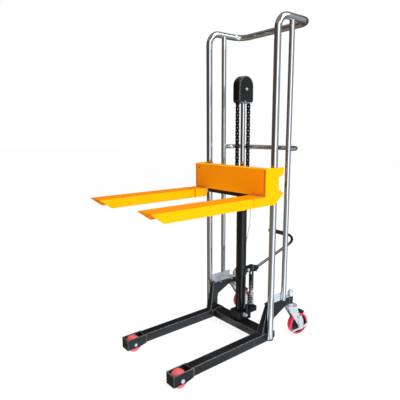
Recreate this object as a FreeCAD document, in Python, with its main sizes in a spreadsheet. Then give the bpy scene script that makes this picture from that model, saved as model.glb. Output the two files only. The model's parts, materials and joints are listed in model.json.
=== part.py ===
import FreeCAD, Part
import math
import os
import re
from types import SimpleNamespace

import Sketcher
from FreeCAD import Placement, Rotation, Vector

# Hand pallet stacker: a pedal pump lifts a ram, and a chain over the ram's wheel lifts the forks.
# Millimetres, X across, +Y rearward, Z up, origin on the floor under the middle of the box.

SIZES = {
    # chrome tubes
    "post_y": 88, "post_dia": 34, "post_wall": 2.5, "post_foot": 54,
    "rear_post_y": 196, "rear_post_dia": 27, "rear_post_wall": 2, "rear_post_foot": 244.2,
    "hoop_top": 1687, "hoop_rear": 337, "hoop_bend": 68,
    "grip_dia": 24, "grip_wall": 2, "grip_top": 1058, "grip_rear": 283, "grip_bend": 46,
    "weld_gap": 0.2, "run_gap": 0.3, "bore_gap": 0.1,
    # black base
    "leg_width": 50, "leg_tall": 47, "leg_low": 32, "leg_wall": 4, "leg_front": -430, "leg_rear": 133,
    "leg_tail": 17, "tail_round": 14, "foot_cap": 6,
    "beam_front": 55, "beam_deep": 80, "beam_tall": 39, "beam_wall": 4,
    "shoe_plate": 5, "shoe_front": -532, "shoe_lap": 12, "shoe_low": 22,
    "bracket_plate": 6, "bracket_foot": 47, "bracket_front": 86, "edge_low": 35, "edge_high": 13,
    "bracket_top": 240, "bracket_heel": 139, "heel_high": 150, "heel_drop": 24,
    "bracket_crook": 227, "crook_high": 190,
    "angle_plate": 4, "angle_front": 98, "angle_rear": 262, "angle_wide": 28, "angle_tall": 42,
    "bolt_dia": 10, "bolt_head": 17, "bolt_front": 148, "bolt_rear": 238, "bolt_inset": 16.5,
    # load rollers
    "roller_dia": 80, "roller_width": 44, "roller_y": -483, "axle_dia": 15, "axle_head": 20,
    "roller_hub": 34,
    # castors
    "castor_inset": 8.1, "castor_y": 283, "swivel_angle": 12, "trail": 58, "wheel_dia": 125,
    "wheel_width": 32, "tyre_thick": 10.5, "hub_width": 35, "hub_dia": 34, "castor_axle": 12,
    "socket_dia": 30, "socket_low": 195, "stem_dia": 16, "stem_top": 276, "nut_wide": 30, "nut_tall": 25,
    "race_dia": 36, "race_low": 186, "crown_dia": 80, "crown_thick": 8, "crown_long": 62,
    "cheek_plate": 4, "cheek_gap": 36, "brake_plate": 4, "brake_reach": 60, "brake_tilt": 14,
    "brake_arm": 50, "tread_deep": 2,
    # hydraulic mast
    "mast_y": 112.4, "mast_dia": 57, "mast_bore": 44, "mast_top": 872, "gland_dia": 64, "gland_tall": 28,
    "ram_dia": 24, "piston_tall": 40, "piston_low": 470,
    # chain and its wheel
    "chain_pitch": 15.875, "wrap_links": 8, "front_links": 29, "rear_links": 32, "wheel_z": 1365,
    "roller_round": 10, "roller_wide": 9.6, "link_tall": 15, "link_plate": 1.8, "pin_dia": 5,
    "wheel_axle": 14, "wheel_hub": 30,
    "cover_half": 52, "cover_top": 1432, "cover_low": 1293, "cover_thick": 52, "cover_wall": 3,
    "cover_chamfer": 12, "yoke_plate": 6, "yoke_half": 24,
    # carriage and forks
    "fork_top": 833, "fork_tip": -648, "fork_out": 275, "fork_width": 106, "fork_plate": 4,
    "fork_tall": 46, "fork_nose": 58, "seam_y": -84, "seam_lap": 40,
    "plate_face": 3, "plate_thick": 5, "plate_top": 970, "plate_lip": 26,
    "peg_hole": 6, "peg_inset": 30, "peg_drop": 24,
    "side_gap": 1.7, "side_plate": 5, "side_low": 787, "ear_rear": 137, "ear_tall": 34, "waist_y": 100,
    "waist_top": 924, "waist_low": 857, "heel_rear": 134, "heel_top": 844, "heel_y": 76, "ear_round": 9,
    "guide_root": 16, "guide_half": 12, "guide_axle": 12, "upper_z": 941, "lower_z": 836, "front_z": 812,
    "bar_gap": 3, "bar_deep": 30, "bar_tall": 21, "lug_plate": 6, "lug_tall": 31,
    # foot pump
    "block_half": 42, "block_front": 70, "block_rear": 155, "block_top": 131, "nose_half": 27,
    "nose_rear": 220, "nose_low": 100, "plunger_y": 196.6, "plunger_dia": 16, "boss_dia": 34,
    "boss_tall": 6, "spring_tall": 63, "spring_dia": 33, "wire_dia": 5, "spring_turns": 6, "end_gap": 0.8,
    "cap_thick": 6, "eye_z": 234, "eye_half": 9, "eye_dia": 18, "link_pin": 8, "slot_gap": 1.2,
    "pivot_y": 158, "pivot_z": 362, "pivot_dia": 12, "arm_reach": 40, "arm_angle": 12.5,
    "collar_wall": 4, "collar_tall": 36, "lug_round": 14, "link_bar": 4,
    "pedal_y": 634, "pedal_z": 474, "pedal_dia": 17, "pedal_wall": 3, "pedal_bend": 108,
    "socket_y": 240, "pedal_end": -246, "sleeve_dia": 28, "sleeve_inner": -112,
    # release valve and drain hose
    "valve_y": 98, "valve_z": 116, "valve_wide": 22, "valve_long": 9, "spindle_dia": 10,
    "release_rod": 8, "knob_dia": 16, "knob_x": 26, "knob_y": 176, "knob_z": 318,
    "hose_dia": 8, "hose_bore": 5.6, "fitting_dia": 14, "fitting_z": 846, "hose_out": 31, "banjo_dia": 10,
}

PLACES = {
    "post_x": "fork_out - fork_plate - side_plate - side_gap - post_dia / 2",
    "leg_out": "post_x - post_dia / 2 - weld_gap",
    "leg_in": "leg_out - leg_width",
    "leg_mid": "leg_out - leg_width / 2",
    "leg_top": "leg_low + leg_tall",
    "beam_rear": "beam_front + beam_deep",
    "bracket_in": "leg_out - bracket_plate",
    "castor_x": "leg_out - castor_inset",
    "arm_end": "castor_y - socket_dia / 2 - weld_gap",
    "rear_post_x": "leg_out + weld_gap + rear_post_dia / 2",
    "angle_in": "leg_out - angle_wide",
    "bolt_x": "leg_out - bolt_inset",
    "roller_z": "roller_dia / 2",
    "castor_z": "wheel_dia / 2",
    "crown_top": "race_low - run_gap",
    "crown_low": "crown_top - crown_thick",
    "cheek_out": "cheek_gap / 2 + cheek_plate",
    "brake_in": "cheek_out + run_gap",
    "brake_out": "brake_in + brake_plate",
    "wheel_r": "chain_pitch / 2 / sin(90 deg / wrap_links)",
    "chain_front": "mast_y - wheel_r",
    "chain_rear": "mast_y + wheel_r",
    "lug_z": "wheel_z - front_links * chain_pitch",
    "anchor_z": "wheel_z - rear_links * chain_pitch",
    "gland_top": "mast_top + gland_tall",
    "yoke_low": "cover_low + 2 * cover_wall",
    "yoke_out": "cover_thick / 2 - cover_wall - run_gap",
    "yoke_in": "yoke_out - yoke_plate",
    "inner_half": "roller_wide / 2 + link_plate",
    "outer_half": "roller_wide / 2 + 2 * link_plate + weld_gap",
    "fork_in": "fork_out - fork_width",
    "bar_half": "fork_in - bar_gap",
    "fork_mid": "fork_out - fork_width / 2",
    "fork_under": "fork_top - fork_plate",
    "fork_low": "fork_top - fork_tall",
    "side_in": "post_x + post_dia / 2 + side_gap",
    "side_out": "side_in + side_plate",
    "plate_back": "plate_face + plate_thick",
    "guide_rear": "post_y + post_dia / 2 + run_gap + guide_root",
    "guide_front": "post_y - post_dia / 2 - run_gap - guide_root",
    "guide_groove": "post_dia / 2 + run_gap",
    "guide_flange": "guide_root + guide_groove - sqrt(guide_groove ^ 2 - guide_half ^ 2)",
    "boss_top": "block_top + boss_tall",
    "cap_low": "boss_top + spring_tall",
    "cap_top": "cap_low + cap_thick",
    "link_y": "pivot_y + arm_reach * cos(arm_angle * 1 deg)",
    "link_z": "pivot_z + arm_reach * sin(arm_angle * 1 deg)",
    "collar_out": "mast_dia / 2 + collar_wall",
    "ear_in": "eye_half + run_gap",
    "valve_end": "block_half + valve_long",
}

doc = FreeCAD.newDocument("HandPalletStacker")
dim = doc.addObject("Spreadsheet::Sheet", "dim")
at = doc.addObject("App::VarSet", "at")
for row, (name, number) in enumerate(SIZES.items(), start=1):
    dim.set(f"A{row}", name)
    dim.set(f"B{row}", str(number))
    dim.setAlias(f"B{row}", name)
doc.recompute()


def full(formula, places="at."):
    """Put the owner's name before each size and place that a formula names."""
    owner = {name: "dim." for name in SIZES} | {name: places for name in PLACES}
    return re.sub(r"[a-z]\w*", lambda word: owner.get(word.group(), "") + word.group(), formula)


for name, formula in PLACES.items():
    at.addProperty("App::PropertyFloat", name, "Places")
    at.setExpression(name, full(formula, ""))
doc.recompute()
now = SimpleNamespace(
    **{name: float(getattr(dim, name)) for name in SIZES},
    **{name: float(getattr(at, name)) for name in PLACES},
)
nodes = {}


def node(label, item):
    item.Label = label
    nodes[label] = item
    return item


def move(item, x="0", y="0", z="0"):
    for letter, formula in zip("xyz", (x, y, z)):
        item.setExpression(".Placement.Base." + letter, full(formula))
    return item


def box(x, y, z):
    item = doc.addObject("Part::Box", "Block")
    for side, (low, high) in zip(("Length", "Width", "Height"), (x, y, z)):
        item.setExpression(side, full(f"({high}) - ({low})"))
    return move(item, x[0], y[0], z[0])


ALONG = {"X": Rotation(Vector(0, 1, 0), 90), "Y": Rotation(Vector(1, 0, 0), -90), "Z": Rotation()}


def stand(item, axis, span, centre):
    """Lay a round item's axis along X, Y or Z, from the start of its span."""
    item.Placement = Placement(Vector(), ALONG[axis])
    spot = dict(zip([letter for letter in "XYZ" if letter != axis], centre))
    spot[axis] = span[0]
    item.setExpression("Height", full(f"({span[1]}) - ({span[0]})"))
    return move(item, spot["X"], spot["Y"], spot["Z"])


def rod(axis, dia, span, *centre):
    item = doc.addObject("Part::Cylinder", "Rod")
    item.setExpression("Radius", full(f"({dia}) / 2"))
    return stand(item, axis, span, centre)


def hexagon(axis, flats, span, *centre):
    item = doc.addObject("Part::Prism", "Hexagon")
    item.Polygon = 6
    item.setExpression("Circumradius", full(f"({flats}) / sqrt(3)"))
    return stand(item, axis, span, centre)


def joined(*items):
    item = doc.addObject("Part::MultiFuse", "Joined")
    item.Shapes = list(items)
    return item


def cut(base, *tools):
    item = doc.addObject("Part::Cut", "Cut")
    item.Base = base
    item.Tool = tools[0] if len(tools) == 1 else joined(*tools)
    return item


def tube(axis, dia, bore, span, *centre):
    return cut(rod(axis, dia, span, *centre), rod(axis, bore, span, *centre))


def mirrored(item):
    copy = doc.addObject("Part::Mirroring", "Mirror")
    copy.Source = item
    copy.Normal = (1, 0, 0)
    return copy


def group(*items):
    item = doc.addObject("Part::Compound", "Group")
    item.Links = list(items)
    return item


def both_sides(label, item):
    node(label + "_right", item)
    node(label + "_left", mirrored(item))


def pair(label, item):
    node(label, group(item, mirrored(item)))


def draw(sketch, points):
    """Draw a closed outline whose corners are held at named places."""
    first = sketch.GeometryCount
    count = len(points)
    turn = [0.3 + 2 * math.pi * index / count for index in range(count)]
    rough = [Vector(100 * math.cos(angle), 100 * math.sin(angle)) for angle in turn]
    for index in range(count):
        sketch.addGeometry(Part.LineSegment(rough[index], rough[(index + 1) % count]))
    for index in range(count):
        following = first + (index + 1) % count
        sketch.addConstraint(Sketcher.Constraint("Coincident", first + index, 2, following, 1))
    for index, corner in enumerate(points):
        for way, formula, guess in zip(("DistanceX", "DistanceY"), corner, rough[index]):
            held = Sketcher.Constraint(way, -1, 1, first + index, 1, guess)
            number = sketch.addConstraint(held)
            sketch.setExpression(f"Constraints[{number}]", full(formula))


def outline(body, plane, offset, *loops):
    sketch = body.newObject("Sketcher::SketchObject", "Outline")
    origin = next(item for item in body.Origin.OriginFeatures if item.Role == plane + "_Plane")
    sketch.AttachmentSupport = [(origin, "")]
    sketch.MapMode = "FlatFace"
    sketch.setExpression(".AttachmentOffset.Base.z", full(offset))
    for points in loops:
        draw(sketch, points)
    return sketch


def pad(body, plane, span, *loops):
    """Pad an outline across its plane; the XZ plane faces -Y, so that pad starts at the far end."""
    offset = f"-({span[1]})" if plane == "XZ" else span[0]
    item = body.newObject("PartDesign::Pad", "Pad")
    item.Profile = outline(body, plane, offset, *loops)
    item.setExpression("Length", full(f"({span[1]}) - ({span[0]})"))
    return body


def plate(plane, span, *loops):
    return pad(doc.addObject("PartDesign::Body", "Plate"), plane, span, *loops)


def turned(axis, *loops):
    """Turn an outline in the XZ plane round X or Z."""
    body = doc.addObject("PartDesign::Body", "Turned")
    sketch = outline(body, "XZ", "0", *loops)
    item = body.newObject("PartDesign::Revolution", "Revolution")
    item.Profile = sketch
    item.ReferenceAxis = (sketch, ["H_Axis" if axis == "X" else "V_Axis"])
    item.Angle = 360
    return body


def round_corners(body, radius, corners):
    """Round the edges that stand on the chosen corners of a pad's outline."""
    doc.recompute()
    base = body.Tip
    sketch = base.Profile[0]
    across = sketch.Placement.Rotation.multVec(Vector(0, 0, 1))
    spots = [sketch.Placement.multVec(sketch.Geometry[index].StartPoint) for index in corners]
    edges = []
    for number, edge in enumerate(base.Shape.Edges, start=1):
        line = edge.Vertexes[-1].Point - edge.Vertexes[0].Point
        square = line.cross(across).Length < 1e-6 * line.Length
        if square and any(edge.distToShape(Part.Vertex(spot))[0] < 1e-6 for spot in spots):
            edges.append(f"Edge{number}")
    item = body.newObject("PartDesign::Fillet", "Rounded")
    item.Base = (base, edges)
    item.setExpression("Radius", full(radius))
    return body


def shaped(shape):
    item = doc.addObject("Part::Feature", "Shaped")
    item.Shape = shape
    return item


def bent_path(points, radii):
    """Straight runs from point to point, joined by tangent arcs of the given radii."""
    edges = []
    start = points[0]
    for before, corner, after, radius in zip(points, points[1:], points[2:], radii):
        inward = (before - corner).normalize()
        outward = (after - corner).normalize()
        half = inward.getAngle(outward) / 2
        reach = radius / math.tan(half)
        middle = (inward + outward).normalize() * (radius / math.sin(half) - radius)
        first = corner + inward * reach
        last = corner + outward * reach
        edges.append(Part.LineSegment(start, first).toShape())
        edges.append(Part.Arc(first, corner + middle, last).toShape())
        start = last
    edges.append(Part.LineSegment(start, points[-1]).toShape())
    return Part.Wire(edges)


def swept(path, dia):
    start = path.Edges[0]
    along = start.tangentAt(start.FirstParameter)
    ring = Part.Wire(Part.makeCircle(dia / 2, start.valueAt(start.FirstParameter), along))
    return path.makePipeShell([ring], True, False)


def bent_tube(points, radii, dia, wall):
    path = bent_path(points, radii)
    return shaped(swept(path, dia).cut(swept(path, dia - 2 * wall)))


# Black base: two legs, the beam between them and the shoes that hold the load rollers.
leg = plate(
    "XZ", ("leg_front", "leg_rear"),
    [("leg_in", "leg_low"), ("leg_out", "leg_low"), ("leg_out", "leg_top"), ("leg_in", "leg_top")],
    [("leg_in + leg_wall", "leg_low + leg_wall"), ("leg_out - leg_wall", "leg_low + leg_wall"),
     ("leg_out - leg_wall", "leg_top - leg_wall"), ("leg_in + leg_wall", "leg_top - leg_wall")],
)
for span in (("leg_front", "leg_front + leg_wall"), ("leg_rear - leg_wall", "leg_rear")):
    pad(leg, "XZ", span, [("leg_in", "leg_low"), ("leg_out", "leg_low"), ("leg_out", "leg_top"),
                          ("leg_in", "leg_top")])
tail = plate("YZ", ("leg_in", "leg_out"), [
    ("leg_rear - leg_wall", "leg_low"), ("leg_rear + leg_tail", "leg_low"),
    ("leg_rear + leg_tail", "leg_top"), ("leg_rear - leg_wall", "leg_top"),
])
round_corners(tail, "tail_round", [1, 2])
foot_span = ("post_foot - foot_cap", "post_foot - weld_gap")
foot_caps = [
    rod("Z", "post_dia", foot_span, "post_x", "post_y"),
    box(("leg_out - leg_wall / 2", "post_x"), ("post_y - post_dia / 3", "post_y + post_dia / 3"), foot_span),
]
both_sides("leg", joined(leg, tail, *foot_caps))
beam_low = "leg_top - beam_tall"
beam = plate(
    "YZ", ("-leg_in", "leg_in"),
    [("beam_front", beam_low), ("beam_rear", beam_low), ("beam_rear", "leg_top"),
     ("beam_front", "leg_top")],
    [("beam_front + beam_wall", beam_low + " + beam_wall"),
     ("beam_rear - beam_wall", beam_low + " + beam_wall"),
     ("beam_rear - beam_wall", "leg_top - beam_wall"),
     ("beam_front + beam_wall", "leg_top - beam_wall")],
)
node("cross_beam", beam)

shoe_side = [
    ("shoe_front", "shoe_low"), ("roller_y + roller_dia / 4", "shoe_low"),
    ("leg_front + shoe_lap", "leg_low"), ("leg_front + shoe_lap", "leg_top"), ("shoe_front", "leg_top"),
]
shoe_front_plate = [
    ("shoe_front", "shoe_low"), ("shoe_front + shoe_plate", "shoe_low"),
    ("shoe_front + shoe_plate", "leg_top"), ("shoe_front", "leg_top"),
]
shoe = plate("YZ", ("leg_out", "leg_out + shoe_plate"), shoe_side)
pad(shoe, "YZ", ("leg_in - shoe_plate", "leg_out"), shoe_front_plate)
pad(shoe, "YZ", ("leg_in - shoe_plate", "leg_in"), shoe_side)
shoe_bore = rod("X", "axle_dia + 2 * weld_gap", ("leg_in - 2 * shoe_plate", "leg_out + 2 * shoe_plate"),
                "roller_y", "roller_z")
pair("roller_shoes", cut(shoe, shoe_bore))

load_axle = joined(
    rod("X", "axle_dia", ("leg_in - shoe_plate - weld_gap", "leg_out + shoe_plate + weld_gap"),
        "roller_y", "roller_z"),
    rod("X", "axle_head", ("leg_out + shoe_plate + weld_gap", "leg_out + 2 * shoe_plate"),
        "roller_y", "roller_z"),
)
pair("load_axles", load_axle)
half_roll = "roller_width / 2"
bush_r = "axle_dia / 2 + bore_gap"
load_roller = turned("X", [
    ("-(leg_width / 2 - run_gap)", bush_r), ("leg_width / 2 - run_gap", bush_r),
    ("leg_width / 2 - run_gap", "roller_hub / 2"), (half_roll + " - 3", "roller_hub / 2 + 1"),
    (half_roll + " - 3", "roller_z - 9"), (half_roll, "roller_z - 7"), (half_roll, "roller_z - 3"),
    (half_roll + " - 3", "roller_z"), ("3 - " + half_roll, "roller_z"), ("-" + half_roll, "roller_z - 3"),
    ("-" + half_roll, "roller_z - 7"), ("3 - " + half_roll, "roller_z - 9"),
    ("3 - " + half_roll, "roller_hub / 2 + 1"), ("-(leg_width / 2 - run_gap)", "roller_hub / 2"),
])
move(load_roller, "leg_mid", "roller_y", "roller_z")
both_sides("load_roller", load_roller)

# Side brackets: a web on each leg, flanged along its front and top, reaching back to the castor.
web = plate("YZ", ("bracket_in", "leg_out"), [
    ("bracket_foot", "leg_top"), ("bracket_front", "bracket_top"), ("arm_end", "bracket_top"),
    ("arm_end", "socket_low + weld_gap"), ("castor_y - race_dia / 2 - run_gap", "socket_low + weld_gap"),
    ("bracket_crook", "crook_high"), ("bracket_heel", "heel_high"),
    ("leg_rear", "heel_high - heel_drop"), ("leg_rear", "leg_top"),
])
edge = plate("YZ", ("bracket_in - edge_low", "bracket_in"), [
    ("bracket_foot", "leg_top"), ("bracket_front", "bracket_top"),
    ("bracket_front + bracket_plate", "bracket_top"), ("bracket_foot + bracket_plate", "leg_top"),
])
edge_taper = plate("XZ", ("bracket_foot - 1", "bracket_front + 2 * bracket_plate"), [
    ("bracket_in - edge_low", "leg_top"), ("bracket_in - edge_high", "bracket_top"),
    ("bracket_in - edge_high", "bracket_top + 1"), ("bracket_in - edge_low - 1", "bracket_top + 1"),
    ("bracket_in - edge_low - 1", "leg_top"),
])
shelf = box(("angle_in", "bracket_in"), ("bracket_front", "arm_end"),
            ("bracket_top - bracket_plate", "bracket_top"))
bracket = joined(web, cut(edge, edge_taper), shelf)
bolt_ways = [rod("Z", "bolt_dia + 2 * weld_gap", ("bracket_top - 2 * bracket_plate", "bracket_top + 1"),
                 "bolt_x", spot) for spot in ("bolt_front", "bolt_rear")]
pair("side_brackets", cut(bracket, *bolt_ways))

angle_high = "bracket_top + angle_plate"
angle = joined(
    box(("angle_in", "leg_out"), ("angle_front", "angle_rear"), ("bracket_top", angle_high)),
    box(("leg_out - angle_plate", "leg_out"), ("angle_front", "bolt_rear"),
        ("bracket_top", "bracket_top + angle_tall")),
)
angle_ways = [rod("Z", "bolt_dia + 2 * weld_gap", ("bracket_top - 1", angle_high + " + 1"), "bolt_x", spot)
              for spot in ("bolt_front", "bolt_rear")]
pair("foot_angles", cut(angle, *angle_ways))

bolts = []
for spot in ("bolt_front", "bolt_rear"):
    bolt = joined(
        rod("Z", "bolt_dia", ("bracket_top - bracket_plate - bolt_dia", angle_high), "bolt_x", spot),
        hexagon("Z", "bolt_head", (angle_high, angle_high + " + bolt_dia * 0.64"), "bolt_x", spot),
        hexagon("Z", "bolt_head", ("bracket_top - bracket_plate - bolt_dia * 0.8",
                                   "bracket_top - bracket_plate"), "bolt_x", spot),
    )
    bolts += [bolt, mirrored(bolt)]
node("frame_bolts", group(*bolts))

# Chrome tubes: one bent hoop makes both front posts and the top handle.
hoop_points = [
    Vector(-now.post_x, now.post_y, now.post_foot), Vector(-now.post_x, now.post_y, now.hoop_top),
    Vector(-now.post_x, now.hoop_rear, now.hoop_top), Vector(now.post_x, now.hoop_rear, now.hoop_top),
    Vector(now.post_x, now.post_y, now.hoop_top), Vector(now.post_x, now.post_y, now.post_foot),
]
node("main_hoop", bent_tube(hoop_points, [now.hoop_bend] * 4, now.post_dia, now.post_wall))
rear_post = tube("Z", "rear_post_dia", "rear_post_dia - 2 * rear_post_wall",
                 ("rear_post_foot", "hoop_top"), "rear_post_x", "rear_post_y")
hoop_saddle = rod("Y", "post_dia + 2 * weld_gap", ("rear_post_y - post_dia", "rear_post_y + post_dia"),
                  "post_x", "hoop_top")
pair("rear_posts", cut(rear_post, hoop_saddle))
grip_points = [
    Vector(side * now.rear_post_x, y, now.grip_top)
    for side, y in ((-1, now.rear_post_y), (-1, now.grip_rear), (1, now.grip_rear), (1, now.rear_post_y))
]
grip = bent_tube(grip_points, [now.grip_bend] * 2, now.grip_dia, now.grip_wall)
grip_saddle = rod("Z", "rear_post_dia + 2 * weld_gap", ("grip_top - grip_dia", "grip_top + grip_dia"),
                  "rear_post_x", "rear_post_y")
node("mid_handle", cut(grip, grip_saddle, mirrored(grip_saddle)))

# Castors: a stem bolted through a socket, a trailing fork, a tyred wheel and a rocking brake.
socket = tube("Z", "socket_dia", "stem_dia + 2 * weld_gap", ("socket_low", "bracket_top"),
              "castor_x", "castor_y")
pair("castor_sockets", socket)
stem = joined(
    rod("Z", "stem_dia", ("race_low", "stem_top"), "castor_x", "castor_y"),
    rod("Z", "race_dia", ("race_low", "socket_low"), "castor_x", "castor_y"),
    hexagon("Z", "nut_wide", ("bracket_top + weld_gap", "bracket_top + nut_tall"), "castor_x", "castor_y"),
)
pair("castor_stems", stem)

cheek_outline = [
    ("-crown_long / 2", "crown_low"), ("crown_long / 2", "crown_low"), ("trail + 15", "castor_z + 4"),
    ("trail + 8", "castor_z - 14"), ("trail - 8", "castor_z - 14"), ("trail - 15", "castor_z"),
]
tyre_in = "wheel_dia / 2 - tyre_thick"


def castor_fork():
    cheeks = [plate("YZ", ("cheek_gap / 2", "cheek_out"), cheek_outline)]
    cheeks.append(plate("YZ", ("-cheek_out", "-cheek_gap / 2"), cheek_outline))
    crown = rod("Z", "crown_dia", ("crown_low", "crown_top"), "0", "0")
    yoke = box(("-cheek_out", "cheek_out"), ("-crown_long / 2", "crown_long / 2"),
               ("crown_low - cheek_plate", "crown_low"))
    bore = rod("X", "castor_axle + 2 * weld_gap", ("-2 * cheek_gap", "2 * cheek_gap"), "trail", "castor_z")
    return cut(joined(crown, yoke, *cheeks), bore)


def castor_axle():
    head = "brake_out + run_gap"
    return joined(
        rod("X", "castor_axle", ("-cheek_out", head), "trail", "castor_z"),
        hexagon("X", "castor_axle * 1.5", (head, head + " + castor_axle / 3"), "trail", "castor_z"),
        hexagon("X", "castor_axle * 1.5", ("-cheek_out - castor_axle / 2", "-cheek_out"),
                "trail", "castor_z"),
    )


def castor_core():
    rim = "wheel_width / 2 - 2"
    core = turned("X", [
        ("-hub_width / 2", "castor_axle / 2 + bore_gap"), ("hub_width / 2", "castor_axle / 2 + bore_gap"),
        ("hub_width / 2", "hub_dia / 2"), ("5", "hub_dia / 2 + 2"), ("5", tyre_in + " - 9"),
        (rim, tyre_in + " - 6"), (rim, tyre_in + " - weld_gap"), ("-(" + rim + ")", tyre_in + " - weld_gap"),
        ("-(" + rim + ")", tyre_in + " - 6"), ("-5", tyre_in + " - 9"), ("-5", "hub_dia / 2 + 2"),
        ("-hub_width / 2", "hub_dia / 2"),
    ])
    return move(core, "0", "trail", "castor_z")


def castor_tyre():
    half = "wheel_width / 2"
    tread = "wheel_dia / 2"
    tyre = turned("X", [
        ("-" + half + " + 2", tyre_in), (half + " - 2", tyre_in), (half, tyre_in + " + 2"),
        (half, tread + " - 5"), (half + " - 2", tread + " - 1.5"), (half + " - 7", tread),
        ("7 - " + half, tread), ("2 - " + half, tread + " - 1.5"), ("-" + half, tread + " - 5"),
        ("-" + half, tyre_in + " + 2"),
    ])
    return move(tyre, "0", "trail", "castor_z")


def castor_brake():
    rocker = plate("YZ", ("brake_in", "brake_out"), [
        ("-brake_reach", "-10"), ("-brake_reach", "-20"), ("6", "-33"), ("brake_reach", "-20"),
        ("brake_reach", "-10"), ("20", "-18"), ("26", "20"), ("20", "brake_arm"), ("2", "brake_arm"),
        ("-11", "15"), ("-14", "-18"),
    ])
    treads = [box(("brake_in", "brake_out + tread_deep"), span, ("-22", "-19"))
              for span in (("-brake_reach", "-brake_reach * 0.6"), ("brake_reach * 0.6", "brake_reach"))]
    bore = rod("X", "castor_axle + 2 * bore_gap", ("0", "2 * brake_out"), "0", "0")
    brake = move(cut(joined(rocker, *treads), bore), "0", "trail", "castor_z")
    brake.Placement = Placement(brake.Placement.Base, Rotation(Vector(1, 0, 0), now.brake_tilt))
    return brake


def swivelled(side, *items):
    """Stand pieces of a castor, made round its own swivel axis, at their corner of the base."""
    place = group(*items)
    place.setExpression(".Placement.Rotation.Angle", full("-swivel_angle * 1 deg"))
    return move(place, f"{side} * castor_x", "castor_y", "0")


for side, hand in ((1, "right"), (-1, "left")):
    node("castor_fork_" + hand, swivelled(side, castor_fork(), castor_axle()))
    node("castor_core_" + hand, swivelled(side, castor_core()))
    node("castor_tyre_" + hand, swivelled(side, castor_tyre()))
    node("castor_brake_" + hand, swivelled(side, castor_brake()))

# Hydraulic mast: cylinder, gland, ram and piston.
mast = tube("Z", "mast_dia", "mast_bore", ("leg_top + weld_gap", "mast_top"), "0", "mast_y")
floor = rod("Z", "mast_bore", ("leg_top + weld_gap", "leg_top + 12"), "0", "mast_y")
node("cylinder_tube", joined(mast, floor))
gland = joined(
    rod("Z", "gland_dia", ("mast_top", "gland_top"), "0", "mast_y"),
    rod("Z", "mast_bore - 2 * weld_gap", ("mast_top - gland_tall", "mast_top"), "0", "mast_y"),
)
ram_way = rod("Z", "ram_dia + 2 * bore_gap", ("mast_top - 2 * gland_tall", "gland_top + 1"), "0", "mast_y")
node("cylinder_gland", cut(gland, ram_way))
node("ram_rod", rod("Z", "ram_dia", ("piston_low + piston_tall", "yoke_low"), "0", "mast_y"))
node("ram_piston", rod("Z", "mast_bore - 2 * bore_gap", ("piston_low", "piston_low + piston_tall"),
                       "0", "mast_y"))

# Ram head: a yoke carries the chain wheel's axle, and a round-topped cover closes over it.
yoke_top = "wheel_z + yoke_half"
yoke_span = ("mast_y - yoke_half", "mast_y + yoke_half")
yoke = joined(
    box(("-yoke_out", "-yoke_in"), yoke_span, ("yoke_low", yoke_top)),
    box(("yoke_in", "yoke_out"), yoke_span, ("yoke_low", yoke_top)),
    box(("-yoke_in", "yoke_in"), yoke_span, ("yoke_low", "yoke_low + 2 * yoke_plate")),
)
axle_way = rod("X", "wheel_axle + 2 * weld_gap", ("-cover_thick", "cover_thick"), "mast_y", "wheel_z")
node("head_yoke", cut(yoke, axle_way))
node("wheel_axle", rod("X", "wheel_axle", ("-cover_thick / 2 - 3", "cover_thick / 2 + 3"),
                       "mast_y", "wheel_z"))
arch_z = "cover_top - cover_half"
shell = joined(
    plate("YZ", ("-cover_thick / 2", "cover_thick / 2"), [
        ("mast_y - cover_half", arch_z), ("mast_y - cover_half", "cover_low + cover_chamfer"),
        ("mast_y - cover_half + cover_chamfer", "cover_low"),
        ("mast_y + cover_half - cover_chamfer", "cover_low"),
        ("mast_y + cover_half", "cover_low + cover_chamfer"), ("mast_y + cover_half", arch_z),
    ]),
    rod("X", "2 * cover_half", ("-cover_thick / 2", "cover_thick / 2"), "mast_y", arch_z),
)
hollow_span = ("-cover_thick / 2 + cover_wall", "cover_thick / 2 - cover_wall")
hollow = joined(
    box(hollow_span, ("mast_y - cover_half + cover_wall", "mast_y + cover_half - cover_wall"),
        ("cover_low - cover_wall", arch_z)),
    rod("X", "2 * (cover_half - cover_wall)", hollow_span, "mast_y", arch_z),
)
cover_way = rod("X", "wheel_axle + 2 * weld_gap", ("-cover_thick", "cover_thick"), "mast_y", "wheel_z")
node("head_cover", cut(shell, hollow, cover_way))

seat = "wheel_r - roller_round / 2 - run_gap"
wheel_bore = "wheel_axle / 2 + bore_gap"
hub_half = "yoke_in - run_gap"
half_wheel = "roller_wide / 2 - run_gap"
chain_wheel = turned("X", [
    (f"-({hub_half})", wheel_bore), (hub_half, wheel_bore), (hub_half, "wheel_hub / 2"),
    ("3", "wheel_hub / 2 + 2"), ("3", seat + " - 7"), (half_wheel, seat + " - 5"), (half_wheel, seat),
    ("-(" + half_wheel + ")", seat), ("-(" + half_wheel + ")", seat + " - 5"), ("-3", seat + " - 7"),
    ("-3", "wheel_hub / 2 + 2"), (f"-({hub_half})", "wheel_hub / 2"),
])
node("chain_wheel", move(chain_wheel, "0", "mast_y", "wheel_z"))

# Chain: side plates in pairs, inside and outside by turns, on rollers one pitch apart.


def across(corners, low, high):
    """A flat piece: corners in the YZ plane, from X low to X high."""
    ring = Part.makePolygon([Vector(low, y, z) for y, z in [*corners, corners[0]]])
    return Part.Face(ring).extrude(Vector(high - low, 0, 0))


def link_plates(start, end, inner, high):
    """Both side plates of one link, with cut-off corners, between two pins in the YZ plane."""
    along = (end - start).normalize()
    side = Vector(0, -along.z, along.y)
    half = now.link_tall / 2
    ends = [(start, -1), (end, 1)]
    corners = []
    for centre, way in ends:
        for reach, spread in ((0.4, -1), (1, -0.4), (1, 0.4), (0.4, 1)):
            spot = centre + along * (way * reach * half) + side * (way * spread * half)
            corners.append((spot.y, spot.z))
    return [across(corners, inner, high), across(corners, -high, -inner)]


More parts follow.
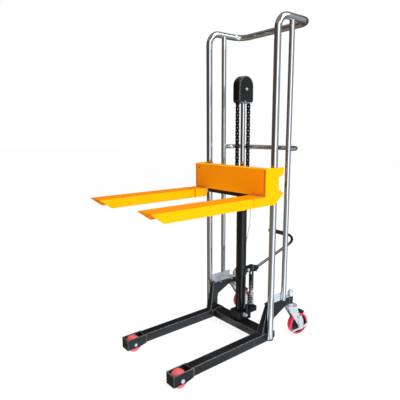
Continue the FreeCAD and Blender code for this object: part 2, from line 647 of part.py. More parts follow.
def chain_pin(centre, dia, half):
    turns = [math.radians(60 * step) for step in range(6)]
    corners = [(centre.y + dia / 2 * math.cos(turn), centre.z + dia / 2 * math.sin(turn)) for turn in turns]
    return across(corners, -half, half)


def chain_strand(pins, first_is_inner):
    pieces = []
    inner_faces = (now.roller_wide / 2, now.inner_half)
    outer_faces = (now.inner_half + now.weld_gap, now.outer_half)
    for count, (start, end) in enumerate(zip(pins, pins[1:])):
        is_inner = (count % 2 == 0) == first_is_inner
        pieces += link_plates(start, end, *(inner_faces if is_inner else outer_faces))
    for pin in pins:
        pieces.append(chain_pin(pin, now.roller_round, now.inner_half))
        pieces.append(chain_pin(pin, now.pin_dia, now.outer_half + now.link_plate / 3))
    return pieces[0].multiFuse(pieces[1:]).removeSplitter()


def straight_pins(y, links):
    return [Vector(0, y, now.wheel_z - step * now.chain_pitch) for step in range(1, links + 1)]


def hanging_strand(y, links, first_is_inner):
    """A straight strand that stops short of the link that lies on the wheel."""
    top = Vector(0, y, now.wheel_z)
    strand = chain_strand([top, *straight_pins(y, links)], first_is_inner)
    keep_top = now.wheel_z - now.link_tall / 2 - now.run_gap
    depth = now.chain_pitch * (links + 2)
    wide = 4 * now.link_tall
    keep = Part.makeBox(wide, wide, depth, Vector(-wide / 2, y - wide / 2, keep_top - depth))
    return strand.common(keep)


wrap_angles = [math.radians(180 * step / now.wrap_links) for step in range(int(now.wrap_links) + 1)]
wrap_pins = [
    Vector(0, now.mast_y - now.wheel_r * math.cos(turn), now.wheel_z + now.wheel_r * math.sin(turn))
    for turn in wrap_angles
]
node("chain_wrap", shaped(chain_strand(wrap_pins, True)))
node("chain_front", shaped(hanging_strand(now.chain_front, int(now.front_links), False)))
node("chain_rear", shaped(hanging_strand(now.chain_rear, int(now.rear_links), True)))

# The chain's fixed ends: a lug behind the front plate and an anchor on a collar round the cylinder.
lug_half = "outer_half + link_plate"
lug_span = ("plate_back", "chain_front + link_tall / 2")
lug_top = "lug_z + link_tall / 2"
lug_low = lug_top + " - lug_tall"
lug = joined(
    box((lug_half, lug_half + " + lug_plate"), lug_span, (lug_low, lug_top)),
    box((f"-({lug_half}) - lug_plate", f"-({lug_half})"), lug_span, (lug_low, lug_top)),
    box((f"-({lug_half})", lug_half), lug_span, (lug_low, "lug_z - link_tall / 2 - run_gap")),
)
node("chain_lug", lug)
anchor_top = "anchor_z - link_tall / 2 - run_gap"
anchor_low = "anchor_z - link_tall / 2 - 24"
anchor = joined(
    tube("Z", "2 * collar_out", "mast_dia + 2 * weld_gap", (anchor_low, anchor_top), "0", "mast_y"),
    box((f"-({lug_half}) - lug_plate", lug_half + " + lug_plate"),
        ("mast_y + mast_dia / 2 + collar_wall / 2", "chain_rear + link_tall / 2"), (anchor_low, anchor_top)),
)
node("chain_anchor", anchor)

# Carriage: front plate, side plates with ears for the guide rollers, and two channel forks.
front = joined(
    box(("-side_in", "side_in"), ("plate_face", "plate_back"), ("fork_top", "plate_top")),
    box(("-side_in", "side_in"), ("plate_back", "plate_back + plate_lip"),
        ("plate_top - plate_thick", "plate_top")),
)
peg_hole = rod("Y", "peg_hole", ("plate_face - 1", "plate_back + 1"), "peg_inset - side_in",
               "plate_top - peg_drop")
node("front_plate", cut(front, peg_hole))
side_outline = [
    ("seam_y - seam_lap", "side_low"), ("seam_y - seam_lap", "fork_under"), ("plate_face", "fork_under"),
    ("plate_face", "plate_top"), ("ear_rear", "plate_top"), ("ear_rear - 4", "plate_top - ear_tall"),
    ("waist_y", "waist_top"), ("waist_y", "waist_low"), ("heel_rear", "heel_top"),
    ("heel_rear", "heel_top - 8"), ("heel_y", "side_low"),
]
side_sheet = plate("YZ", ("side_in", "side_out"), side_outline)
both_sides("carriage_side", round_corners(side_sheet, "ear_round", [4, 5, 6, 7, 8, 10]))
lower_bar = cut(
    box(("-bar_half", "bar_half"), ("plate_back", "plate_back + bar_deep"),
        ("fork_top - bar_tall", "fork_top")),
    box(("-bar_half", "bar_half"), ("plate_back + fork_plate", "plate_back + bar_deep + 1"),
        ("fork_top - bar_tall + fork_plate", "fork_top - fork_plate")),
)
tie = box(("-bar_half", "bar_half"), ("plate_back", "plate_back + fork_plate"),
          ("fork_top", "fork_top + bar_tall"))
node("lower_bar", joined(lower_bar, tie))

fork = plate("XZ", ("fork_tip", "plate_face"), [
    ("fork_in", "fork_low"), ("fork_in + fork_plate", "fork_low"), ("fork_in + fork_plate", "fork_under"),
    ("fork_out - fork_plate", "fork_under"), ("fork_out - fork_plate", "fork_low"), ("fork_out", "fork_low"),
    ("fork_out", "fork_top"), ("fork_in", "fork_top"),
])
nose = plate("YZ", ("fork_in - 1", "fork_out + 1"), [
    ("fork_tip - 1", "fork_under"), ("fork_tip", "fork_under"), ("fork_tip + fork_nose", "fork_low"),
    ("fork_tip + fork_nose", "fork_low - 1"), ("fork_tip - 1", "fork_low - 1"),
])
seam = box(("side_out", "fork_out + 1"), ("seam_y", "plate_face + 1"), ("fork_low - 1", "fork_under"))
both_sides("fork", cut(fork, nose, seam))

# Guide rollers: grooved to the front posts, on stub axles welded inside the side plates.


def guide_roller(y, z):
    wheel = rod("X", "2 * guide_flange", ("post_x - guide_half", "post_x + guide_half"), y, z)
    groove = doc.addObject("Part::Torus", "Groove")
    groove.setExpression("Radius1", full("guide_root + guide_groove"))
    groove.setExpression("Radius2", full("guide_groove"))
    groove.Placement = Placement(Vector(), ALONG["X"])
    move(groove, "post_x", y, z)
    bore = rod("X", "guide_axle + 2 * bore_gap", ("post_x - 2 * guide_half", "side_in"), y, z)
    roller = cut(wheel, groove, bore)
    return group(roller, mirrored(roller))


axles = []
for label, y, z in (("upper", "guide_rear", "upper_z"), ("lower", "guide_rear", "lower_z"),
                    ("front", "guide_front", "front_z")):
    node("guide_rollers_" + label, guide_roller(y, z))
    stub = joined(
        rod("X", "guide_axle", ("post_x - guide_half - 3", "side_in"), y, z),
        rod("X", "guide_axle + 5", ("post_x + guide_half + run_gap", "side_in"), y, z),
    )
    axles += [stub, mirrored(stub)]
node("guide_axles", group(*axles))

# Foot pump: block round the cylinder's foot, plunger with its return spring, link and pedal lever.
block = joined(
    box(("-block_half", "block_half"), ("block_front", "block_rear"), ("leg_top", "block_top")),
    box(("-nose_half", "nose_half"), ("block_rear", "nose_rear"), ("nose_low", "block_top")),
    rod("Z", "boss_dia", ("block_top", "boss_top"), "0", "plunger_y"),
)
mast_way = rod("Z", "mast_dia + 2 * weld_gap", ("leg_top - 1", "block_top + 1"), "0", "mast_y")
plunger_way = rod("Z", "plunger_dia + 2 * bore_gap", ("nose_low + 4", "boss_top + 1"), "0", "plunger_y")
node("pump_block", cut(block, mast_way, plunger_way))
plunger_foot = "boss_top - 8"
plunger = joined(
    rod("Z", "plunger_dia", (plunger_foot, "cap_low"), "0", "plunger_y"),
    rod("Z", "spring_dia + 4", ("cap_low", "cap_top"), "0", "plunger_y"),
    box(("-eye_half", "eye_half"), ("plunger_y - eye_dia / 2", "plunger_y + eye_dia / 2"),
        ("cap_top", "eye_z")),
    rod("X", "eye_dia", ("-eye_half", "eye_half"), "plunger_y", "eye_z"),
    rod("X", "link_pin", ("-eye_half - 2 * link_bar", "eye_half + 2 * link_bar"), "plunger_y", "eye_z"),
)
node("pump_plunger", plunger)


def biarc(start, leave, end, arrive):
    """Two tangent arcs from start to end with the given unit directions at the two ends."""
    chord = end - start
    both = leave + arrive
    straight = chord.dot(both)
    spread = 2 * (1 - leave.dot(arrive))
    reach = (-straight + math.sqrt(straight ** 2 + spread * chord.dot(chord))) / spread
    first, last = start + leave * reach, end - arrive * reach
    meet = (first + last) * 0.5
    arcs = []
    for point, corner, far in ((start, first, meet), (meet, last, end)):
        middle = (point + far) * 0.5
        out = corner - middle
        half = (far - point).Length / 2
        angle = math.atan2(out.Length, half)
        arcs.append(Part.Arc(point, middle + out.normalize() * (half * math.tan(angle / 2)), far).toShape())
    return arcs


def coil_spring():
    """Return spring in quarter turns: a nearly closed turn at each end and open turns between."""
    radius = (now.spring_dia - now.wire_dia) / 2
    low = now.boss_top + now.wire_dia / 2 + now.run_gap
    rise = now.spring_tall - now.wire_dia - 2 * now.run_gap
    quarters = int(now.spring_turns) * 4
    closed = (now.wire_dia + now.end_gap) / 4
    opened = (rise - 8 * closed) / (quarters - 8)
    steps = [closed] * 4 + [opened] * (quarters - 8) + [closed] * 4
    spots = []
    headings = []
    for count in range(quarters + 1):
        turn = count * math.pi / 2
        near = steps[max(count - 1, 0):count + 1]
        climb = sum(near) / len(near) / (math.pi / 2)
        across_x, across_y = radius * math.cos(turn), radius * math.sin(turn)
        spots.append(Vector(across_x, now.plunger_y + across_y, low + sum(steps[:count])))
        headings.append(Vector(-across_y, across_x, climb).normalize())
    edges = []
    for count in range(quarters):
        edges += biarc(spots[count], headings[count], spots[count + 1], headings[count + 1])
    path = Part.Wire(edges)
    points = path.discretize(Number=24 * int(now.spring_turns) + 1)
    apart = [(one - other).Length for count, one in enumerate(points) for other in points[count + 12:]]
    print(f"plunger spring: least gap to itself {min(apart) - now.wire_dia:.2f} mm")
    return swept(path, now.wire_dia)


node("plunger_spring", shaped(coil_spring()))

collar_low = "pivot_z - collar_tall / 2"
collar_high = "pivot_z + collar_tall / 2"
ear_lug = "ear_in + link_bar + 1"
lug_outline = [
    ("mast_y", collar_low), ("pivot_y", "pivot_z - lug_round"),
    ("pivot_y + lug_round * 0.7", "pivot_z - lug_round * 0.7"), ("pivot_y + lug_round", "pivot_z"),
    ("pivot_y + lug_round * 0.7", "pivot_z + lug_round * 0.7"), ("pivot_y", "pivot_z + lug_round"),
    ("mast_y", collar_high),
]
ears = [plate("YZ", span, lug_outline) for span in (("ear_in", ear_lug), (f"-({ear_lug})", "-ear_in"))]
collar = joined(rod("Z", "2 * collar_out", (collar_low, collar_high), "0", "mast_y"), *ears)
collar_way = rod("Z", "mast_dia + 2 * weld_gap", (collar_low + " - 1", collar_high + " + 1"), "0", "mast_y")
pin_way = rod("X", "pivot_dia + 2 * weld_gap", ("-block_half", "block_half"), "pivot_y", "pivot_z")
node("lever_bracket", cut(collar, collar_way, pin_way))
node("pivot_pin", joined(
    rod("X", "pivot_dia", (f"-({ear_lug})", ear_lug), "pivot_y", "pivot_z"),
    rod("X", "pivot_dia + 6", (ear_lug, ear_lug + " + 4"), "pivot_y", "pivot_z"),
    rod("X", "pivot_dia + 6", (f"-({ear_lug}) - 4", f"-({ear_lug})"), "pivot_y", "pivot_z"),
))

lever = plate("YZ", ("-eye_half", "eye_half"), [
    ("pivot_y - 10", "pivot_z - 7"), ("pivot_y - 10", "pivot_z + 7"), ("pivot_y - 2", "pivot_z + 17"),
    ("link_y + 6", "link_z + 12"), ("socket_y", "pivot_z + 6"), ("socket_y + 4", "pivot_z - 14"),
    ("socket_y - 4", "pivot_z - 26"), ("link_y", "pivot_z - 22"), ("pivot_y + 6", "pivot_z - 14"),
])
pedal_rise = math.atan2(now.pedal_z - now.pivot_z + 6, now.pedal_y - now.socket_y)
pedal_way = Vector(0, math.cos(pedal_rise), math.sin(pedal_rise))
pedal_corner = Vector(0, now.pedal_y, now.pedal_z)
run_length = (now.pedal_y - now.socket_y) / pedal_way.y
pedal_start = pedal_corner - pedal_way * run_length
boss_back, boss_front = pedal_start - pedal_way * 24, pedal_start + pedal_way * 6
boss_r, hole_r = now.pedal_dia / 2 + 5, now.pedal_dia / 2 + now.weld_gap
boss = shaped(Part.makeCylinder(boss_r, (boss_front - boss_back).Length, boss_back, pedal_way))
bar_hole = shaped(Part.makeCylinder(hole_r, 80, pedal_start - pedal_way * 20, pedal_way))
lever_bores = [
    rod("X", "pivot_dia + 2 * bore_gap", ("-block_half", "block_half"), "pivot_y", "pivot_z"),
    rod("X", "link_pin + 2 * bore_gap", ("-block_half", "block_half"), "link_y", "link_z"),
]
node("pedal_lever", cut(joined(lever, boss), bar_hole, *lever_bores))
bar_start = pedal_start - pedal_way * 19.8
bar_end = Vector(now.pedal_end, now.pedal_y, now.pedal_z)
pedal_points = [bar_start, pedal_corner, bar_end]
node("pedal_bar", bent_tube(pedal_points, [now.pedal_bend], now.pedal_dia, now.pedal_wall))
node("pedal_sleeve", cut(
    rod("X", "sleeve_dia", ("pedal_end - 4", "sleeve_inner"), "pedal_y", "pedal_z"),
    rod("X", "pedal_dia + 2 * weld_gap", ("pedal_end - weld_gap", "sleeve_inner + 1"), "pedal_y", "pedal_z"),
))

link_in = "ear_in"
link_out = "ear_in + link_bar"
strap_span = ("link_y - 7", "link_y + 7")
straps = []
for low, high in ((link_in, link_out), (f"-({link_out})", f"-({link_in})")):
    straps.append(joined(
        box((low, high), strap_span, ("eye_z", "link_z")),
        rod("X", "2 * link_pin", (low, high), "link_y", "link_z"),
        rod("X", "2 * link_pin", (low, high), "link_y", "eye_z"),
    ))
link_slots = rod("X", "link_pin + 2 * slot_gap", ("-block_half", "block_half"), "plunger_y", "eye_z")
top_pin = rod("X", "link_pin", (f"-({link_out})", link_out), "link_y", "link_z")
link_web = box((f"-({link_in})", link_in), ("link_y - 7", "link_y - 3"),
               ("eye_z + 2 * eye_dia", "link_z - 2.5 * eye_dia"))
node("pump_link", cut(joined(*straps, link_web, top_pin), link_slots))

# Release valve on the block's side, with its sprung hand lever.
node("release_valve", joined(
    hexagon("X", "valve_wide", ("block_half", "valve_end"), "valve_y", "valve_z"),
    rod("X", "spindle_dia", ("valve_end", "valve_end + 14"), "valve_y", "valve_z"),
))
hub = tube("X", "spindle_dia + 10", "spindle_dia + 2 * bore_gap", ("valve_end + run_gap", "valve_end + 12"),
           "valve_y", "valve_z")
hub_mid = Vector(now.valve_end + 6, now.valve_y, now.valve_z)
knob_foot = Vector(now.knob_x, now.knob_y, now.knob_z)
lean = (knob_foot - hub_mid).normalize()
stick_foot = hub_mid + lean * (now.spindle_dia / 2 + 2.5)
stick = shaped(Part.makeCylinder(now.release_rod / 2, (knob_foot - stick_foot).Length, stick_foot, lean))
knob = shaped(Part.makeSphere(now.knob_dia / 2, knob_foot))
node("release_lever", joined(hub, stick, knob))

# Drain hose from the gland back to the pump block, held in a fitting at each end.
hose_top = Vector(now.hose_out, now.mast_y + now.hose_out, now.fitting_z)
hose_low = now.block_top + now.fitting_dia + 4
hose_points = [
    Vector(now.hose_out * x, now.mast_y + now.hose_out * y, hose_low + (now.fitting_z - hose_low) * z)
    for x, y, z in ((1, 1, 1), (1.03, 1.21, 0.85), (0.97, 1.28, 0.7), (0.19, 1.25, 0.56),
                    (-0.77, 1.15, 0.43), (-1.06, 0.95, 0.27), (-1.1, 0.92, 0.12), (-1.1, 0.92, 0))
]
runs = [(after - before).Length for before, after in zip(hose_points, hose_points[1:])]
radii = []
for before, corner, after, short in zip(hose_points, hose_points[1:], hose_points[2:],
                                        map(min, runs, runs[1:])):
    turn = (corner - before).getAngle(after - corner)
    radii.append(0.45 * short / math.tan(turn / 2))
print("drain hose radii", [round(radius) for radius in radii])
hose_path = bent_path(hose_points, radii)
node("drain_hose", shaped(swept(hose_path, now.hose_dia).cut(swept(hose_path, now.hose_bore))))
reach = Vector(1, 1, 0).normalize()
fitting_centre = Vector(0, now.mast_y, now.mast_top + now.gland_tall / 2)
banjo_end = Vector(hose_top.x, hose_top.y, fitting_centre.z)
banjo_long = (banjo_end - fitting_centre).Length
banjo = shaped(Part.makeCylinder(now.banjo_dia / 2, banjo_long, fitting_centre, reach))
gland_way = rod("Z", "gland_dia + 2 * weld_gap", ("mast_top - 1", "gland_top + 1"), "0", "mast_y")
ferrule_low = hose_top + Vector(0, 0, now.run_gap)
ferrule_tall = fitting_centre.z + now.banjo_dia / 2 + 1 - ferrule_low.z
top_fitting = joined(
    cut(banjo, gland_way), shaped(Part.makeCylinder(now.fitting_dia / 2, ferrule_tall, ferrule_low)),
)
low_foot = Vector(hose_points[-1].x, hose_points[-1].y, now.block_top)
low_tall = hose_low - now.block_top - now.weld_gap
low_fitting = shaped(Part.makeCylinder(now.fitting_dia / 2, low_tall, low_foot))
node("hose_fittings", group(top_fitting, low_fitting))

doc.recompute()
for item in doc.Objects:
    if "Invalid" in item.State or "Error" in item.State:
        raise RuntimeError(f"{item.Label} failed: {item.State}")
for label, item in nodes.items():
    if item.Shape.isNull() or not item.Shape.isValid() or not item.Shape.Solids:
        raise RuntimeError(f"{label} has no valid solid")

os.makedirs("parts", exist_ok=True)
for label, item in nodes.items():
    item.Shape.exportStep(os.path.join("parts", label + ".step"))
print(len(nodes), "sub-parts written")
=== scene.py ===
import json
import math

import bmesh
import bpy
import numpy as np
from mathutils import Matrix, Vector


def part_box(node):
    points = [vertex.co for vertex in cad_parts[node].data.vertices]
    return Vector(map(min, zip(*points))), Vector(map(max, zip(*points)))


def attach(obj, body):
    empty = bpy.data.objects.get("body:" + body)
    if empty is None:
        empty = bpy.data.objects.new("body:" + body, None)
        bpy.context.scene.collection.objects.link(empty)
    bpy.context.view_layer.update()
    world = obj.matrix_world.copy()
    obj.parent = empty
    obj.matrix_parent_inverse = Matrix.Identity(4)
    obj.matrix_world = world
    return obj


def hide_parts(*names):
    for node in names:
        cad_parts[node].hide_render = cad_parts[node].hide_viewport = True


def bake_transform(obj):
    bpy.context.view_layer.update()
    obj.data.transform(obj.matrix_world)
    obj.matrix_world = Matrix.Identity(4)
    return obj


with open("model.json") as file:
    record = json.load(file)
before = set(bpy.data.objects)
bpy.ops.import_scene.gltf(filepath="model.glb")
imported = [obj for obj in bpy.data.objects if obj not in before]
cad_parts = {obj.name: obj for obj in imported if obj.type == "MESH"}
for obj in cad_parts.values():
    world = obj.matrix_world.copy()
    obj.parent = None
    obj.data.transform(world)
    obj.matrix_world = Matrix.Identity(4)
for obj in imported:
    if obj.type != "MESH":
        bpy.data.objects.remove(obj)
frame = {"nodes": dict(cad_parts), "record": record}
nodes = frame["nodes"]
bodyOf = {node: body for body, members in frame["record"]["behaviour"]["bodies"].items() for node in members}
slotOf = {part["node"]: part["material_slot"] for part in frame["record"]["subparts"]}
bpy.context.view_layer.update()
hands = ((-1, "left"), (1, "right"))
print("frame loaded:", len(nodes), "nodes")


def addObject(name, data):
    item = bpy.data.objects.new(name, data)
    bpy.context.scene.collection.objects.link(item)
    return item


# the camera at the photograph's place
cameraView = {
    "place": (1.58196, -1.46806, 1.14459),
    "azimuth": 50.71, "pitch": 10.17, "roll": -0.28,  # degrees
    "focal": 407.36, "centre": (201.93, 205.04), "frameSize": 400,  # pixels
    "sensor": 36.0,  # mm
}


def placeCamera(view):
    turn, tip, lean = (math.radians(view[key]) for key in ("azimuth", "pitch", "roll"))
    forward = Vector((-math.sin(turn) * math.cos(tip), math.cos(turn) * math.cos(tip), -math.sin(tip)))
    level = Vector((math.cos(turn), math.sin(turn), 0))
    upright = level.cross(forward)
    right = level * math.cos(lean) + upright * math.sin(lean)
    up = upright * math.cos(lean) - level * math.sin(lean)
    size, half = view["frameSize"], view["frameSize"] / 2
    data = bpy.data.cameras.new("photoCamera")
    data.sensor_width = view["sensor"]
    data.lens = view["focal"] / size * view["sensor"]
    data.shift_x = (half - view["centre"][0]) / size
    data.shift_y = (view["centre"][1] - half) / size
    camera = addObject("photoCamera", data)
    turned = Matrix((right, up, -forward)).transposed().to_4x4()
    camera.matrix_world = Matrix.Translation(view["place"]) @ turned
    bpy.context.scene.camera = camera


placeCamera(cameraView)
print("camera placed")

# shader nodes


def feed(tree, socket, value):
    # a socket takes a link from another socket or a plain value
    if isinstance(value, bpy.types.NodeSocket):
        tree.links.new(value, socket)
    else:
        socket.default_value = (*value[:3], 1) if socket.type == "RGBA" else value


def addNode(tree, kind, inputs=(), **settings):
    # a shader node with its settings and then its inputs; gives back its outputs
    node = tree.nodes.new("ShaderNode" + kind)
    for label, value in settings.items():
        setattr(node, label, value)
    for label, value in dict(inputs).items():
        feed(tree, node.inputs[label], value)
    return node.outputs


def mathNode(tree, operation, *values, clamp=False):
    return addNode(tree, "Math", enumerate(values), operation=operation, use_clamp=clamp)[0]


def noiseNode(tree, vector, scale, detail=4.0, roughness=0.55):
    inputs = {"Vector": vector, "Scale": scale, "Detail": detail, "Roughness": roughness}
    return addNode(tree, "TexNoise", inputs)["Fac"]


def mixColour(tree, factor, first, second):
    return addNode(tree, "Mix", {0: factor, 6: first, 7: second}, data_type="RGBA")[2]


def objectPlace(tree):
    return addNode(tree, "TexCoord")["Object"]


# shared effects, each a node group


def swung(tree, tone, rough, spread):
    # the tone's swing about one half, times the spread, is added to the roughness
    swing = mathNode(tree, "MULTIPLY", mathNode(tree, "SUBTRACT", tone, 0.5), spread)
    return mathNode(tree, "ADD", swing, rough, clamp=True)


def coatGrain(tree, colour, shade, patchScale, peelScale, rough, spread):
    # sprayed coat: broad patches shift the colour, a fine noise gives the orange-peel height
    where = objectPlace(tree)
    patch = noiseNode(tree, where, patchScale)
    peel = noiseNode(tree, where, peelScale, detail=2.0)
    smudge = noiseNode(tree, where, 34.0, detail=6.0, roughness=0.7)
    blend = mathNode(tree, "SUBTRACT", patch, 0.1)
    return mixColour(tree, blend, colour, shade), swung(tree, smudge, rough, spread), peel


def drawnLines(tree, colour, shade, stretch, rough, spread):
    # metal drawn or turned along one direction: noise stretched along that direction makes its lines
    where = objectPlace(tree)
    stretched = addNode(tree, "Mapping", {"Vector": where, "Scale": stretch})["Vector"]
    lines = noiseNode(tree, stretched, 1.0, detail=3.0)
    smear = noiseNode(tree, where, 16.0, detail=5.0, roughness=0.65)
    tone = mathNode(tree, "MULTIPLY", mathNode(tree, "MULTIPLY", lines, smear), 2.4, clamp=True)
    return mixColour(tree, tone, shade, colour), swung(tree, tone, rough, spread), lines


def edgeWearAndHighlight(tree, reach, amount):
    # rubbed edges, partly wear and partly a painted highlight: where a widened normal leaves the true one, broken
    # up by noise
    widened = addNode(tree, "Bevel", {"Radius": reach}, samples=4)["Normal"]
    plain = addNode(tree, "NewGeometry")["Normal"]
    agree = addNode(tree, "VectorMath", {0: widened, 1: plain}, operation="DOT_PRODUCT")["Value"]
    sharp = mathNode(tree, "MULTIPLY", mathNode(tree, "SUBTRACT", 1.0, agree), amount)
    broken = noiseNode(tree, objectPlace(tree), 120.0, detail=5.0, roughness=0.7)
    return [mathNode(tree, "MULTIPLY", sharp, mathNode(tree, "POWER", broken, 3.0), clamp=True)]


def seamLine(tree, place, halfWidth):
    # a joint across a bar: the mask falls from one to nothing over half a line's width either side of it
    y = addNode(tree, "SeparateXYZ", {"Vector": objectPlace(tree)})["Y"]
    off = mathNode(tree, "ABSOLUTE", mathNode(tree, "SUBTRACT", y, place))
    return [mathNode(tree, "SUBTRACT", 1.0, mathNode(tree, "DIVIDE", off, halfWidth), clamp=True)]


def paintedHollowShade(tree, reach):
    # painted shade in hollows: the closed share of the surroundings above a threshold, times a gain
    threshold, gain = 0.30, 3.4
    opened = addNode(tree, "AmbientOcclusion", {"Distance": reach}, samples=6)["AO"]
    closed = mathNode(tree, "SUBTRACT", 1.0, opened)
    return [mathNode(tree, "MULTIPLY", mathNode(tree, "SUBTRACT", closed, threshold), gain, clamp=True)]


def newEffect(build, inputs, *outputs):
    # a default of four numbers makes a colour socket, three make a vector and one makes a value
    kinds = {4: "NodeSocketColor", 3: "NodeSocketVector", 1: "NodeSocketFloat"}
    group = bpy.data.node_groups.new(build.__name__, "ShaderNodeTree")
    for label, default in inputs.items():
        kind = kinds[np.size(default)]
        group.interface.new_socket(label, in_out="INPUT", socket_type=kind).default_value = default
    for label in outputs:
        group.interface.new_socket(label, in_out="OUTPUT", socket_type=kinds[4 if label == "Colour" else 1])
    given = group.nodes.new("NodeGroupInput").outputs
    made = group.nodes.new("NodeGroupOutput").inputs
    for label, value in zip(outputs, build(group, *(given[label] for label in inputs))):
        group.links.new(value, made[label])
    return group


white = (1, 1, 1, 1)
tones, swing = {"Colour": white, "Shade": white}, {"Roughness": 0.3, "Spread": 0.1}
grain = ("Colour", "Roughness", "Height")
effects = {
    "coatGrain": newEffect(coatGrain, {**tones, "Patch Scale": 9.0, "Peel Scale": 700.0, **swing}, *grain),
    "drawnLines": newEffect(drawnLines, {**tones, "Stretch": (300.0, 300.0, 4.0), **swing}, *grain),
    "edgeWearAndHighlight": newEffect(edgeWearAndHighlight, {"Reach": 0.0025, "Amount": 1.0}, "Mask"),
    "seamLine": newEffect(seamLine, {"Place": 0.0, "Half Width": 0.001}, "Mask"),
    "paintedHollowShade": newEffect(paintedHollowShade, {"Reach": 0.06}, "Mask"),
}

# what each word of a finish sets: a socket of its grain or its shader, or a mask and the mask's sockets
grainWords = {
    "colour": "Colour", "shade": "Shade", "patch": "Patch Scale", "peel": "Peel Scale", "stretch": "Stretch",
    "rough": "Roughness", "spread": "Spread",
}
shaderWords = {
    "metal": "Metallic", "specular": "Specular IOR Level", "coat": "Coat Weight", "coatRough": "Coat Roughness",
    "bleed": "Subsurface Weight", "bleedReach": "Subsurface Radius",
}
maskWords = {
    "wearAndHighlight": ("edgeWearAndHighlight", "Reach", "Amount"), "seam": ("seamLine", "Place", "Half Width"),
    "paintedShade": ("paintedHollowShade", "Reach"),
}


def newMaterial(name):
    material = bpy.data.materials.new(name)
    material.use_nodes = True
    material.node_tree.nodes.clear()
    return material, material.node_tree


def placeEffect(tree, name, values):
    return addNode(tree, "Group", values, node_tree=effects[name])


def finishMaterial(name, look):
    # the grain's colour, tinted by each mask in turn; the grain's height makes the bump, to the finish's depth
    material, tree = newMaterial(name)
    values = {label: look[word] for word, label in grainWords.items() if word in look}
    made = placeEffect(tree, "drawnLines" if "stretch" in look else "coatGrain", values)
    colour = made["Colour"]
    # each mask tints the colour: painted shade in hollows, a painted highlight with some wear along edges, a dark
    # joint line
    for word, (mask, *labels) in maskWords.items():
        if word in look:
            tint, *values = look[word]
            colour = mixColour(tree, placeEffect(tree, mask, zip(labels, values))["Mask"], colour, tint)
    bump = addNode(tree, "Bump", {"Strength": 1.0, "Distance": look["depth"], "Height": made["Height"]})
    sockets = {label: look[word] for word, label in shaderWords.items() if word in look}
    sockets.update({"Base Color": colour, "Roughness": made["Roughness"], "Normal": bump["Normal"]})
    addNode(tree, "OutputMaterial", {"Surface": addNode(tree, "BsdfPrincipled", sockets)["BSDF"]})
    return material


